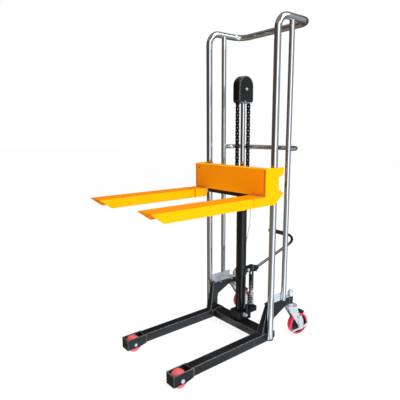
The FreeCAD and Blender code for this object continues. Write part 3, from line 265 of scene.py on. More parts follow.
# in these finishes the tint along edges is partly wear and partly a painted highlight
finishes = {
    "chrome_tube": dict(
        colour=(0.82, 0.82, 0.81), shade=(0.74, 0.73, 0.715), stretch=(500, 500, 3),
        rough=0.06, spread=0.03, depth=0.000001, metal=1,
    ),
    "yellow_paint": dict(
        colour=(0.90, 0.288, 0), shade=(0.87, 0.264, 0), patch=6, peel=900,
        rough=0.36, spread=0.12, depth=0.00006, specular=0.05, coat=0.01, coatRough=0.12,
        # the tint in hollows is painted shade
        wearAndHighlight=((1, 0.55, 0.05), 0.0022, 4), paintedShade=((0.16, 0.07, 0.02), 0.022),
    ),
    # a brighter yellow: a painted highlight on the plate's rolled lip
    "yellow_lip_highlight": dict(
        colour=(1, 0.60, 0.004), shade=(1, 0.52, 0.003), patch=14, peel=900,
        rough=0.34, spread=0.12, depth=0.00004, specular=0.2,
    ),
    # a dark orange: a painted shadow in the gap at the plate's ends
    "yellow_gap_shadow": dict(
        colour=(0.46, 0.15, 0), shade=(0.38, 0.11, 0), patch=30, peel=900,
        rough=0.45, spread=0.12, depth=0.00004, specular=0.08,
    ),
    # a paler black: a painted highlight on the weld bead
    "black_weld_highlight": dict(
        colour=(0.03, 0.033, 0.037), shade=(0.06, 0.065, 0.07), patch=90, peel=800,
        rough=0.3, spread=0.16, depth=0.00008, specular=0.5,
    ),
    "black_paint": dict(
        colour=(0.0045, 0.005, 0.0055), shade=(0.009, 0.010, 0.011), patch=8, peel=800,
        rough=0.33, spread=0.16, depth=0.00008, specular=0.42, coat=0.1, coatRough=0.2,
        wearAndHighlight=((0.24, 0.25, 0.27), 0.005, 42),
    ),
    "black_gloss": dict(
        colour=(0.0008, 0.001, 0.001), shade=(0.0016, 0.0019, 0.002), patch=7, peel=700,
        rough=0.15, spread=0.08, depth=0.00003, specular=0.60, coat=0.15, coatRough=0.05,
        wearAndHighlight=((0.07, 0.07, 0.075), 0.002, 4),
    ),
    "pedal_gloss": dict(
        colour=(0.0008, 0.001, 0.001), shade=(0.0016, 0.0019, 0.002), patch=7, peel=700,
        rough=0.07, spread=0.04, depth=0.00002, specular=1, coat=1, coatRough=0.05,
    ),
    "zinc_plate": dict(
        colour=(0.68, 0.73, 0.77), shade=(0.42, 0.47, 0.515), patch=60, peel=500,
        rough=0.36, spread=0.10, depth=0.00003, metal=0.5, specular=0.6,
    ),
    "bare_steel": dict(
        colour=(0.72, 0.74, 0.76), shade=(0.48, 0.50, 0.53), stretch=(900, 60, 60),
        rough=0.30, spread=0.2, depth=0.00003, metal=0.6,
    ),
    "chain_steel": dict(
        colour=(0.075, 0.075, 0.08), shade=(0.03, 0.029, 0.028), patch=90, peel=900,
        rough=0.26, spread=0.2, depth=0.00004, metal=1,
    ),
    "pump_iron": dict(
        colour=(0.004, 0.0045, 0.005), shade=(0.009, 0.0095, 0.010), patch=20, peel=420,
        rough=0.42, spread=0.2, depth=0.00025, specular=0.22, wearAndHighlight=((0.11, 0.11, 0.12), 0.002, 5),
    ),
    "red_tread": dict(
        colour=(0.80, 0.022, 0.075), shade=(0.66, 0.016, 0.055), patch=30, peel=600,
        rough=0.34, spread=0.22, depth=0.00008, bleed=0.15, bleedReach=(0.008, 0.002, 0.002),
        coat=0.2, coatRough=0.2,
    ),
    "wheel_core": dict(
        colour=(0.006, 0.006, 0.0065), shade=(0.013, 0.013, 0.014), patch=30, peel=700,
        rough=0.3, spread=0.2, depth=0.00006, coat=0.3, coatRough=0.15,
    ),
    "grip_rubber": dict(
        colour=(0.012, 0.012, 0.012), shade=(0.022, 0.021, 0.02), patch=40, peel=900,
        rough=0.6, spread=0.2, depth=0.00012, specular=0.4,
    ),
    "clear_hose": dict(
        colour=(0.72, 0.73, 0.71), shade=(0.60, 0.61, 0.59), patch=12, peel=300,
        rough=0.2, spread=0.1, depth=0.00003, bleed=0.3, coat=0.4,
    ),
    "black_knob": dict(
        colour=(0.01, 0.01, 0.01), shade=(0.018, 0.018, 0.018), patch=30, peel=500,
        rough=0.3, spread=0.12, depth=0.00004, coat=0.4, coatRough=0.1,
    ),
}
# the forks show a joint line and painted deep shade inside, the cover a painted highlight along its rims, the
# rollers a paler red
variants = {
    "yellow_fork": ("yellow_paint", {
        "seam": ((0.22, 0.035, 0), -0.084, 0.0065), "paintedShade": ((0.13, 0.06, 0.02), 0.085),
    }),
    "cover_gloss": ("black_gloss", {"wearAndHighlight": ((0.34, 0.35, 0.37), 0.007, 40)}),
    "red_roller": ("red_tread", {"colour": (0.80, 0.14, 0.14), "shade": (0.70, 0.105, 0.105)}),
}
finishes.update({name: {**finishes[base], **change} for name, (base, change) in variants.items()})
materials = {name: finishMaterial(name, look) for name, look in finishes.items()}
print("finishes made:", len(materials))

# surfaces from arrays, in mm


def unit(vectors):
    return vectors / np.linalg.norm(vectors, axis=-1, keepdims=True)


def millimetres(values):
    # lengths given in mm, in metres
    return np.asarray(values, float) / 1000


def gridFaces(rows, columns, closeRows=False):
    # quads of a grid whose columns run round; its rows run round too when closeRows is set
    row, column = np.meshgrid(np.arange(rows if closeRows else rows - 1), np.arange(columns), indexing="ij")
    below, beside = (row + 1) % rows, (column + 1) % columns
    corners = (row * columns + column, row * columns + beside,
               below * columns + beside, below * columns + column)
    return np.stack(corners, axis=-1).reshape(-1, 4).tolist()


def closedFaces(rows, columns):
    # the same grid with a flat face over its first and last row
    ends = [list(range(columns))[::-1], list(range((rows - 1) * columns, rows * columns))]
    return gridFaces(rows, columns) + ends


def sheetFaces(rows, columns):
    # quads of a grid that is open on all four sides
    starts = [row * columns + step for row in range(rows - 1) for step in range(columns - 1)]
    return [[start, start + 1, start + columns + 1, start + columns] for start in starts]


def joined(shapes):
    # several shapes as one: their points in a row, with each shape's faces counted on from the last one's
    faces, count = [], 0
    for points, own in shapes:
        faces += [[corner + count for corner in face] for face in own]
        count += len(points)
    return np.concatenate([points for points, _ in shapes]), faces


def shadeMesh(mesh, finish, sharpAngle):
    mesh.materials.clear()
    mesh.materials.append(materials[finish])
    mesh.polygons.foreach_set("use_smooth", np.ones(len(mesh.polygons), bool))
    mesh.set_sharp_from_angle(angle=math.radians(sharpAngle))


def addPiece(name, points, faces, finish, body, replaced=(), sharpAngle=40):
    mesh = bpy.data.meshes.new(name)
    mesh.from_pydata(millimetres(points).reshape(-1, 3).tolist(), [], faces)
    work = bmesh.new()
    work.from_mesh(mesh)
    bmesh.ops.remove_doubles(work, verts=work.verts, dist=1e-7)
    bmesh.ops.recalc_face_normals(work, faces=work.faces)
    work.to_mesh(mesh)
    work.free()
    shadeMesh(mesh, finish, sharpAngle)
    piece = addObject(name, mesh)
    if body:
        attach(piece, body)
    if replaced:
        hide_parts(*replaced)
    return piece


def bentPath(points, radii, steps):
    # straight runs with a circular arc at each corner, tangent to both runs
    points = np.asarray(points, float)
    rows = [points[:1]]
    for before, corner, after, radius in zip(points, points[1:], points[2:], radii):
        inward, outward = unit(before - corner), unit(after - corner)
        half = math.acos(float(np.clip(inward @ outward, -1, 1))) / 2
        middle = corner + unit(inward + outward) * radius / math.sin(half)
        start, end = corner + inward * radius / math.tan(half), corner + outward * radius / math.tan(half)
        first, last = (start - middle) / radius, (end - middle) / radius
        sweep = math.pi - 2 * half
        turn = np.linspace(0, 1, steps + 1)[:, None]
        arc = (np.sin((1 - turn) * sweep) * first + np.sin(turn * sweep) * last) / math.sin(sweep)
        rows.append(middle + radius * arc)
    rows.append(points[-1:])
    return np.concatenate(rows)


slantedLean = (0.61, -0.47, 0.64)


def carriedCircle(path, radius, sides, lean=slantedLean):
    # at each path point a circle of the given radius, square to the path's direction there
    path = np.asarray(path, float)
    along = unit(np.gradient(path, axis=0))
    side = unit(np.cross(along, np.asarray(lean)))
    up = np.cross(side, along)
    turn = np.linspace(0, 2 * np.pi, sides, endpoint=False)[None, :, None]
    ring = np.cos(turn) * side[:, None] + np.sin(turn) * up[:, None]
    return path[:, None] + np.broadcast_to(radius, (len(path),))[:, None, None] * ring


def tubePiece(name, path, radius, finish, body, sides, replaced=(), lean=slantedLean):
    points = carriedCircle(path, radius, sides, lean)
    return addPiece(name, points, closedFaces(len(path), sides), finish, body, replaced)


def turnedPoints(profile, centre, axis, sides):
    # each profile row (along the axis, distance from it) carried once round the axis
    profile = np.asarray(profile, float)
    axis = unit(np.asarray(axis, float))
    side = unit(np.cross(axis, (0.0, 0.0, 1.0) if abs(axis[2]) < 0.9 else (0.0, 1.0, 0.0)))
    up = np.cross(side, axis)
    turn = np.linspace(0, 2 * np.pi, sides, endpoint=False)[None, :, None]
    ring = np.cos(turn) * side + np.sin(turn) * up
    return np.asarray(centre) + profile[:, :1, None] * axis + profile[:, 1:, None] * ring


def turnedPiece(name, profile, centre, axis, finish, body, sides, replaced=(), ring=True):
    # a ring's profile is a closed loop; any other profile gets a flat face at both ends
    faces = gridFaces(len(profile), sides, True) if ring else closedFaces(len(profile), sides)
    points = turnedPoints(profile, centre, axis, sides)
    return addPiece(name, points, faces, finish, body, replaced, sharpAngle=30 if ring else 40)


def domeRows(dia, deep, tall):
    # a low head: straight up to half its height, then drawn in, with a pin-hole at its middle
    return np.array([(-deep, 0.1), (-deep, dia / 2), (tall / 2, dia / 2), (tall, dia / 3), (tall, 0.1)])


# nodes shown in another finish than the record's
otherFinish = {
    "lower_bar": "pump_iron", "lever_bracket": "black_gloss",
    "fork_left": "yellow_fork", "fork_right": "yellow_fork",
}
# limits, in metres and degrees: one point, one flat face, an edge, at a corner's place and along its axis
rolled = {
    "merge": 1e-6, "flat": 0.8, "angle": 30, "near": 0.0004, "straight": 0.99,
    "segments": 2, "bentSegments": 4,
}


def softened(node, edge, corner, size):
    # the node's own faces, merged, with every edge rolled over; a corner's edges get a wider roll
    finish = otherFinish.get(node, slotOf[node])
    most = corner["roll"] if corner else edge
    mesh = nodes[node].data.copy()
    mesh.name = node + "_dressed"
    work = bmesh.new()
    work.from_mesh(mesh)
    bmesh.ops.remove_doubles(work, verts=work.verts, dist=size["merge"])
    bmesh.ops.dissolve_limit(work, angle_limit=math.radians(size["flat"]), verts=work.verts, edges=work.edges)
    weight = work.edges.layers.float.new("bevel_weight_edge")
    for line in work.edges:
        if line.calc_face_angle(0) > math.radians(size["angle"]):
            first, last = (end.co for end in line.verts)
            middle, way = (first + last) / 2, (last - first).normalized()
            wide = corner and abs(way[corner["along"]]) > size["straight"] and all(
                abs(middle[axis] - place) < size["near"] for axis, place in corner["at"].items())
            line[weight] = 1 if wide else edge / most
    work.to_mesh(mesh)
    work.free()
    shadeMesh(mesh, finish, size["angle"])
    piece = addObject(mesh.name, mesh)
    bevel = piece.modifiers.new("rolledEdge", "BEVEL")
    bevel.width = most
    bevel.segments = size["bentSegments" if corner else "segments"]
    bevel.limit_method = "WEIGHT"
    bevel.harden_normals = True
    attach(piece, bodyOf[node])
    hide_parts(node)


mastTubes = {
    "postX": 247.3, "postY": 88, "postDia": 34, "foot": 54, "top": 1687, "rear": 337, "bend": 68,
    "bendSteps": 28, "postSides": 64,
    "rearX": 243.8, "rearY": 196, "rearDia": 27, "rearFoot": 244.2, "rearTop": 1680, "rearSides": 56,
    "gripDia": 24, "gripTop": 1058, "gripRear": 283, "gripBend": 46, "gripInset": 7,
    "gripSteps": 24, "gripSides": 48,
}


def chromeTubes(size):
    # a circle carried along each tube's line: the bent hoop, two straight posts and the bent handle
    x, y, foot, top, rear = (size[key] for key in ("postX", "postY", "foot", "top", "rear"))
    corners = [(-x, y, foot), (-x, y, top), (-x, rear, top), (x, rear, top), (x, y, top), (x, y, foot)]
    hoop = bentPath(corners, [size["bend"]] * 4, size["bendSteps"])
    tubePiece("hoopTube", hoop, size["postDia"] / 2, "chrome_tube", "base", size["postSides"], ["main_hoop"])
    x, y, dia, sides = (size[key] for key in ("rearX", "rearY", "rearDia", "rearSides"))
    posts = [[(side * x, y, size["rearFoot"]), (side * x, y, size["rearTop"])] for side, _ in hands]
    shapes = [(carriedCircle(post, dia / 2, sides).reshape(-1, 3), closedFaces(2, sides)) for post in posts]
    addPiece("rearPostTubes", *joined(shapes), "chrome_tube", "base", ["rear_posts"])
    rear, top = size["gripRear"], size["gripTop"]
    start = y + dia / 2 - size["gripInset"]
    corners = [(-x, start, top), (-x, rear, top), (x, rear, top), (x, start, top)]
    grip = bentPath(corners, [size["gripBend"]] * 2, size["gripSteps"])
    dia, sides = size["gripDia"], size["gripSides"]
    tubePiece("midHandleTube", grip, dia / 2, "chrome_tube", "base", sides, ["mid_handle"])


chromeTubes(mastTubes)
print("chrome tubes made")

# flat and cast pieces keep their own outlines, with rolled edges of these radii
rolledEdges = {
    "leg_left": 0.003, "leg_right": 0.003, "cross_beam": 0.0025, "roller_shoes": 0.0012,
    "side_brackets": 0.0012, "foot_angles": 0.0009, "frame_bolts": 0.0007, "castor_sockets": 0.0006,
    "castor_stems": 0.0008, "chain_anchor": 0.001, "pump_block": 0.0025, "lever_bracket": 0.001,
    "pivot_pin": 0.001, "release_valve": 0.0008, "hose_fittings": 0.0008, "head_yoke": 0.0008,
    "wheel_axle": 0.0015, "front_plate": 0.0016, "carriage_side_left": 0.0012,
    "carriage_side_right": 0.0012, "lower_bar": 0.0008, "fork_left": 0.0017, "fork_right": 0.0017,
    "chain_lug": 0.001, "guide_axles": 0.0006, "castor_fork_left": 0.001, "castor_fork_right": 0.001,
    "castor_brake_left": 0.0012, "castor_brake_right": 0.0012, "pedal_lever": 0.003, "pump_link": 0.001,
    "pump_plunger": 0.0008, "cylinder_gland": 0.002, "load_axles": 0.0012,
}
# corners bent to a wider radius: the axis they run along and the place they are at
bentCorners = {
    "roller_shoes": {"along": 2, "at": {1: -0.532}, "roll": 0.005},
    "front_plate": {"along": 0, "at": {1: 0.003, 2: 0.970}, "roll": 0.0045},
}
for node, edge in rolledEdges.items():
    softened(node, edge, bentCorners.get(node), rolled)
print("rolled edges on", len(rolledEdges), "pieces")

chain = {
    "pitch": 15.875, "plateHalf": 7.3, "waist": 5.7, "plate": 1.8, "rim": 0.25, "rimShare": 0.955,
    "endSweep": 118, "endSteps": 15, "rollerHalf": 4.8, "rollerDia": 10.1, "rollerSides": 18,
    "pinDia": 5.0, "pinEnd": 0.6, "pinSides": 12, "barrelRim": 0.5, "gap": 0.2,
    "wheelZ": 1365, "mastY": 112.4, "wrapLinks": 8,
    # side of the wheel, links, node, body at the far end, and the first inner link, counted from 0
    "strands": {
        "chainFront": (-1, 29, "chain_front", "carriage", 1), "chainRear": (1, 32, "chain_rear", "base", 0),
    },
}


def linkPlate(size, inner):
    # two round ends joined through a narrower waist, given a thickness with chamfered rims
    turn = np.radians(np.linspace(-size["endSweep"], size["endSweep"], size["endSteps"]))
    half = size["plateHalf"]
    end = np.stack([size["pitch"] / 2 + half * np.cos(turn), half * np.sin(turn)], axis=1)
    middle = np.array([[0, size["waist"]]])
    outline = np.concatenate([end, middle, -end, -middle])
    level = inner + np.array([0, size["rim"], size["plate"] - size["rim"], size["plate"]])
    scale = np.array([size["rimShare"], 1, 1, size["rimShare"]])
    flat = outline[None] * scale[:, None, None]
    lift = np.broadcast_to(level[:, None, None], (len(level), len(outline), 1))
    return np.concatenate([lift, flat], axis=2).reshape(-1, 3), closedFaces(len(level), len(outline))


def chainBarrel(dia, half, sides, rim):
    # a short bar across the chain with chamfered rims
    radius = dia / 2
    rows = [(-half, radius - rim), (rim - half, radius), (half - rim, radius), (half, radius - rim)]
    return turnedPoints(rows, (0, 0, 0), (1, 0, 0), sides).reshape(-1, 3), closedFaces(len(rows), sides)


def linkParts(size, upper, lower, inner, hubs):
    # one link: both plates carried to the place between two pins, and a roller on a pin at each hub
    along = unit(lower - upper)
    across = np.array([0.0, -along[2], along[1]])
    seat = size["rollerHalf"] + (0 if inner else size["plate"] + size["gap"])
    plate, plateFaces = linkPlate(size, seat)
    turned = np.stack([np.array([1.0, 0.0, 0.0]), along, across])
    middle = (upper + lower) / 2
    shapes = [((plate * np.array([hand, 1, 1])) @ turned + middle, plateFaces) for hand in (1, -1)]
    pinHalf = size["rollerHalf"] + 2 * size["plate"] + size["gap"] + size["pinEnd"]
    for hub in hubs:
        for part, half in (("roller", size["rollerHalf"]), ("pin", pinHalf)):
            barrel, faces = chainBarrel(size[part + "Dia"], half, size[part + "Sides"], size["barrelRim"])
            shapes.append((barrel + hub, faces))
    return joined(shapes)


def liftChain(size):
    # links between pins set out at one pitch: half a turn over the wheel, then straight down on both sides
    count, pitch = size["wrapLinks"], size["pitch"]
    radius = pitch / 2 / math.sin(math.pi / 2 / count)
    turn = np.linspace(0, np.pi, count + 1)
    height, reach = size["wheelZ"] + radius * np.sin(turn), size["mastY"] - radius * np.cos(turn)
    wrap = np.stack([turn * 0, reach, height], axis=1)
    hubs = [wrap[step:step + 1] for step in range(count - 1)] + [wrap[count - 1:]]
    links = [linkParts(size, wrap[step], wrap[step + 1], step % 2 == 0, hubs[step]) for step in range(count)]
    addPiece("chainOnWheel", *joined(links), "chain_steel", "ram", ["chain_wrap"])
    # each hanging link is a piece of its own, set one pitch below the one above it
    for name, (side, count, node, body, firstInner) in size["strands"].items():
        y = size["mastY"] + side * radius
        for step in range(count):
            upper = np.array([0, y, size["wheelZ"] - step * pitch])
            lower = upper - np.array([0, 0, pitch])
            points, faces = linkParts(size, upper, lower, step % 2 == firstInner, [lower])
            link = addPiece(f"{name}_{step + 1:02d}", points, faces, "chain_steel", None)
            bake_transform(link)
            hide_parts(node)


liftChain(chain)
print("chain made")

wheelShape = {
    "swivel": 12, "castorX": 222, "castorY": 283, "trail": 58, "castorZ": 62.5, "castorDia": 125, "tread": 32,
    "core": 104, "shoulder": 6, "seat": 2,
    # half of the core's outline, from its rim to its bore: distance from the middle and from the axle
    "coreRows": [(14, 52), (14, 47), (12, 45.5), (5.5, 43), (4.5, 41), (4.5, 23), (6, 20), (12, 18), (16.5, 17),
                 (17.5, 16), (17.5, 11.1), (16.5, 10.6), (16.5, 6.1)],
    "rollerX": 205.1, "rollerY": -483, "rollerDia": 80, "rollerWidth": 44,
    "rollerRim": 8, "rollerShoulder": 3.5,
    # one side face of the roller, from its rim to its bore
    "rollerRows": [(-19, 30), (-19, 19), (-20.5, 17.5), (-23.7, 17), (-24.7, 16), (-24.7, 7.6)],
    "sides": 96, "coreSides": 72,
}
mirrored = np.array([-1, 1])


def roundedRim(half, outer, inner, corner, steps=7):
    # a wheel's outer face: flat tread with a quarter circle at each shoulder
    turn = np.linspace(0, np.pi / 2, steps)
    right = np.stack([half - corner + corner * np.cos(turn), outer - corner + corner * np.sin(turn)], axis=1)
    return np.concatenate([[(half, inner)], right, right[::-1] * mirrored, [(-half, inner)]])


def bothSides(rows):
    # the rows and then their mirror image, so that the outline runs on
    rows = np.asarray(rows, float)
    return np.concatenate([rows, rows[::-1] * mirrored])


def swivelled(size):
    # directions across and along a castor, and the places of stem and axle on each side
    turn = math.radians(size["swivel"])
    across = np.array([math.cos(turn), -math.sin(turn), 0])
    along = np.array([math.sin(turn), math.cos(turn), 0])
    stems = [np.array([side * size["castorX"], size["castorY"], 0]) for side, _ in hands]
    return across, along, stems, [stem + along * size["trail"] + (0, 0, size["castorZ"]) for stem in stems]


def castorWheels(size):
    # the outlines of tyre and core turned about the axle
    across, _, _, axles = swivelled(size)
    half, inner, seat = size["tread"] / 2, size["core"] / 2, size["seat"]
    rim = roundedRim(half, size["castorDia"] / 2, inner + seat, size["shoulder"])
    tyre = np.concatenate([rim, [(seat - half, inner), (half - seat, inner)]])
    core = bothSides(size["coreRows"])
    parts = (("Tyre", tyre, "red_tread", size["sides"]), ("Core", core, "wheel_core", size["coreSides"]))
    for (_, hand), axle in zip(hands, axles):
        body = "castor_wheel_" + hand
        for part, rows, finish, sides in parts:
            node = f"castor_{part.lower()}_{hand}"
            turnedPiece(f"castor{part}_{hand}", rows, axle, across, finish, body, sides, [node])


def loadRollers(size):
    # the roller's outline turned about its axle
    outer = size["rollerDia"] / 2
    rim = roundedRim(size["rollerWidth"] / 2, outer, outer - size["rollerRim"], size["rollerShoulder"])
    profile = np.concatenate([rim, bothSides(size["rollerRows"])])
    for side, hand in hands:
        centre = (side * size["rollerX"], size["rollerY"], outer)
        turnedPiece("loadRoller_" + hand, profile, centre, (1, 0, 0), "red_roller", "roller_" + hand,
                    size["sides"], ["load_roller_" + hand])


castorShoe = {
    "inner": 64.5, "outer": 79, "from": -7, "to": 24, "half": 17.7, "steps": 8, "roll": 2.5,
    "rivet": (40, 110.5), "rivetDia": 8, "rivetOut": 22, "rivetDeep": 0.4, "rivetTall": 1.2, "rivetSides": 24,
}


def castorShoes(size, wheel):
    # a block over the tyre between the fork's cheeks: a rounded section carried along an arc about the axle
    across, along, stems, axles = swivelled(wheel)
    upward = np.array([0, 0, 1.0])
    high, low, half, roll = size["outer"], size["inner"], size["half"], size["roll"]
    section = np.array([(-half, low), (half, low), (half, high - roll), (half - roll, high),
                        (roll - half, high), (-half, high - roll)])
    sweep = np.radians(np.linspace(size["from"], size["to"], size["steps"] + 1))
    radial = np.sin(sweep)[:, None] * along + np.cos(sweep)[:, None] * upward
    block = section[None, :, :1] * across + section[None, :, 1:] * radial[:, None]
    faces = closedFaces(len(sweep), len(section))
    back, up = size["rivet"]
    rows = domeRows(size["rivetDia"], size["rivetDeep"], size["rivetTall"])
    for (_, hand), stem, axle in zip(hands, stems, axles):
        addPiece("castorShoe_" + hand, block + axle, faces, "pump_iron", "castor_" + hand)
        head = stem + across * size["rivetOut"] + along * back + upward * up
        turnedPiece("castorRivet_" + hand, rows, head, across, "pump_iron", "castor_" + hand,
                    size["rivetSides"], ring=False)


castorWheels(wheelShape)
loadRollers(wheelShape)
castorShoes(castorShoe, wheelShape)
print("wheels made")

guideRoller = {
    "x": 247.3, "half": 12, "root": 16, "groove": 17.3, "chamfer": 0.6, "shoulder": 0.8,
    "steps": 15, "sides": 56,
    # one side face, from its rim to its bore
    "face": [(-12, 14), (-10.5, 13), (-10.5, 9), (-12, 8), (-12, 6.1)],
    "places": {"upper": (121.3, 941), "lower": (121.3, 836), "front": (54.7, 812)},
}


def guideRollers(size):
    # the groove is an arc round the post, so the radius follows root + groove - sqrt(groove^2 - x^2)
    reach = size["half"] - size["chamfer"]
    across = np.linspace(reach, -reach, size["steps"])
    groove = size["root"] + size["groove"] - np.sqrt(size["groove"] ** 2 - across ** 2)
    rim = np.stack([across, groove], axis=1)
    profile = np.concatenate([rim, bothSides([(-size["half"], groove[-1] - size["shoulder"]), *size["face"]])])
    sides = size["sides"]
    faces = gridFaces(len(profile), sides, True)
    for name, (y, z) in size["places"].items():
        centres = [(side * size["x"], y, z) for side, _ in hands]
        rings = [(turnedPoints(profile, centre, (1, 0, 0), sides).reshape(-1, 3), faces) for centre in centres]
        addPiece("guideRollers_" + name, *joined(rings), "bare_steel", "guides_" + name,
                 ["guide_rollers_" + name], sharpAngle=30)


guideRollers(guideRoller)

mast = {
    "y": 112.4, "sides": 64,
    # low end, top end and diameter of each bar, its finish, body and node
    "bars": {
        "cylinderBarrel": (79.2, 872, 57, "black_gloss", "base", "cylinder_tube"),
        "ramBar": (510, 1299, 24, "chrome_tube", "ram", "ram_rod"),
    },
}


def mastBars(size):
    # a circle carried up each bar's middle line
    for name, (low, top, dia, finish, body, node) in size["bars"].items():
        path = [(0, size["y"], low), (0, size["y"], top)]
        tubePiece(name, path, dia / 2, finish, body, size["sides"], [node])


mastBars(mast)

cover = {
    "y": 112.4, "half": 52, "thick": 26, "low": 1293, "top": 1432, "chamfer": 18, "roll": 6, "wall": 2.6,
    "archSteps": 33, "footSteps": 6, "rollSteps": 7, "sharpAngle": 50,
}


def headCover(size):
    # an arch over two straight sides, rolled over at both rims; each flat side is drawn in to its middle line
    half, chamfer, roll = size["half"], size["chamfer"], size["roll"]
    arch = size["top"] - half
    turn = np.linspace(np.pi, 0, size["archSteps"])
    foot = np.linspace(0, np.pi / 2, size["footSteps"])
    corner = np.stack([chamfer * (1 - np.sin(foot)) - half, size["low"] + chamfer * (1 - np.cos(foot))], axis=1)
    sides = np.concatenate([corner, [(-half, (arch + size["low"]) / 2)]])
    over = np.stack([half * np.cos(turn), arch + half * np.sin(turn)], axis=1)
    edge = np.concatenate([sides, over, sides[::-1] * mirrored])
    spine = np.stack([edge[:, 0] * 0, np.minimum(edge[:, 1], arch)], axis=1)
    bend = np.linspace(0, np.pi / 2, size["rollSteps"])
    inset = roll * (1 - np.sin(bend))
    out = size["thick"] - roll * (1 - np.cos(bend))
    reach = np.linalg.norm(edge - spine, axis=1)[:, None]
    rows = [(size["thick"], np.ones_like(reach))] + [(x, drawn / reach) for x, drawn in zip(out, inset)]
    grid = [np.concatenate([np.full((len(edge), 1), x), edge + (spine - edge) * share], axis=1)
            for x, share in rows]
    grid = np.array(grid + [row * np.array([-1, 1, 1]) for row in grid[::-1]]) + np.array([0, size["y"], 0])
    faces = sheetFaces(len(grid), len(edge))
    shell = addPiece("coverShell", grid, faces, "cover_gloss", "ram", ["head_cover"], size["sharpAngle"])
    wall = shell.modifiers.new("sheet", "SOLIDIFY")
    wall.thickness = size["wall"] / 1000
    wall.offset = -1.0


headCover(cover)
print("mast made")

pedal = {
    "start": (0, 221, 350.4), "corner": (0, 634, 474), "end": (-246, 634, 474), "dia": 17, "bend": 108,
    "bendSteps": 32, "sides": 40,
    "sleeveDia": 28, "sleeveFrom": -112, "sleeveTo": -250, "sleeveSides": 48, "mouthDrop": 1.5,
    "ribs": 22, "ribDepth": 0.9, "ribSteps": 8, "ribFrom": 0.06, "ribTo": 0.94,
    "domeFrom": 0.975, "domeDrop": 3.0,
}


def pedalBar(size):
    # a circle carried along the bent bar
    path = bentPath([size["start"], size["corner"], size["end"]], [size["bend"]], size["bendSteps"])
    tubePiece("pedalBar", path, size["dia"] / 2, "pedal_gloss", "pedal", size["sides"], ["pedal_bar"])
    # the sleeve's radius swells and dips along its length, one wave for each rib, with a domed end
    along = np.linspace(0, 1, size["ribs"] * size["ribSteps"] + 1)
    wave = 0.5 + 0.5 * np.cos(2 * np.pi * size["ribs"] * along)
    ribbed = (along > size["ribFrom"]) & (along < size["ribTo"])
    dome = np.clip((along - size["domeFrom"]) / (1 - size["domeFrom"]), 0, 1)
    radius = size["sleeveDia"] / 2 - size["ribDepth"] * (1 - wave) * ribbed - size["domeDrop"] * dome ** 2
    radius[0] -= size["mouthDrop"]
    x = size["sleeveFrom"] + (size["sleeveTo"] - size["sleeveFrom"]) * along
    profile = np.stack([x, radius], axis=1)
    centre = (0, *size["corner"][1:])
    turnedPiece("pedalSleeve", profile, centre, (1, 0, 0), "grip_rubber", "pedal", size["sleeveSides"],
                ["pedal_sleeve"], False)


pedalBar(pedal)

spring = {
    "y": 196.6, "low": 137.3, "tall": 62.4, "dia": 33, "wire": 5, "turns": 6, "endPitch": 5.8,
    "turnSteps": 40, "sides": 14, "lean": (0.02, 0.03, 1.0),
}


def returnSpring(size):
    # a circle of wire carried round a helix: close pitch for one turn at each end, open pitch between
    turns, wire, endPitch = size["turns"], size["wire"], size["endPitch"]
    turn = np.linspace(0, turns, turns * size["turnSteps"] + 1)
    rise = size["tall"] - wire
    height = np.interp(turn, [0, 1, turns - 1, turns], [0, endPitch, rise - endPitch, rise])
    radius = (size["dia"] - wire) / 2
    path = np.stack([radius * np.cos(2 * np.pi * turn), size["y"] + radius * np.sin(2 * np.pi * turn),
                     size["low"] + wire / 2 + height], axis=1)
    coil = tubePiece("returnSpring", path, wire / 2, "bare_steel", None, size["sides"], lean=size["lean"])
    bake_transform(coil)
    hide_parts("plunger_spring")


returnSpring(spring)

sleeve = {"y": 196.6, "low": 156, "top": 199.6, "inner": 8.1, "outer": 9.4, "sides": 40}


def plungerSleeve(size):
    # a thin dark tube on the plunger, inside the spring
    half, middle = (size["top"] - size["low"]) / 2, (size["top"] + size["low"]) / 2
    profile = [(-half, size["inner"]), (-half, size["outer"]), (half, size["outer"]), (half, size["inner"])]
    turnedPiece("plungerSleeve", profile, (0, size["y"], middle), (0, 0, 1), "pump_iron", "plunger",
                size["sides"])


plungerSleeve(sleeve)

hose = {
    "route": [(31, 143.4, 846), (31.9, 149.9, 741.5), (30.1, 152.1, 636.9), (5.9, 151.2, 539.3),
              (-23.9, 148.1, 448.7), (-32.9, 141.9, 337.2), (-34.1, 140.9, 232.6), (-34.1, 140.9, 149)],
    "dia": 8, "length": 0.714,
}


def drainHose(size):
    # a round tube on a smooth spline that takes the route's points as its control points
    route = millimetres(size["route"])
    curve = bpy.data.curves.new("drainHoseTube", "CURVE")
    curve.dimensions = "3D"
    curve.bevel_depth = size["dia"] / 2000
    curve.bevel_resolution = 5
    curve.resolution_u = 10
    curve.use_fill_caps = True
    spline = curve.splines.new("NURBS")
    spline.points.add(len(route) - 1)
    spline.points.foreach_set("co", np.concatenate([route, np.ones((len(route), 1))], axis=1).ravel())
    spline.order_u = 3
    spline.use_endpoint_u = True
    curve.materials.append(materials["clear_hose"])
    tube = addObject("drainHoseTube", curve)
    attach(tube, "base")
    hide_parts("drain_hose")


drainHose(hose)

release = {
    "hub": (57, 98, 116), "knob": (26, 176, 318), "rod": 8, "rodStart": 7.5, "rodGap": 0.5, "knobDia": 16,
    "neckAngle": 0.55, "tipAngle": 0.02, "knobSteps": 18, "sides": 28, "lean": (1.0, 0.1, 0.0),
    "collar": [(-5.7, 5.1), (-5.7, 9.2), (-4.9, 10), (4.9, 10), (5.7, 9.2), (5.7, 5.1)], "collarSides": 40,
}


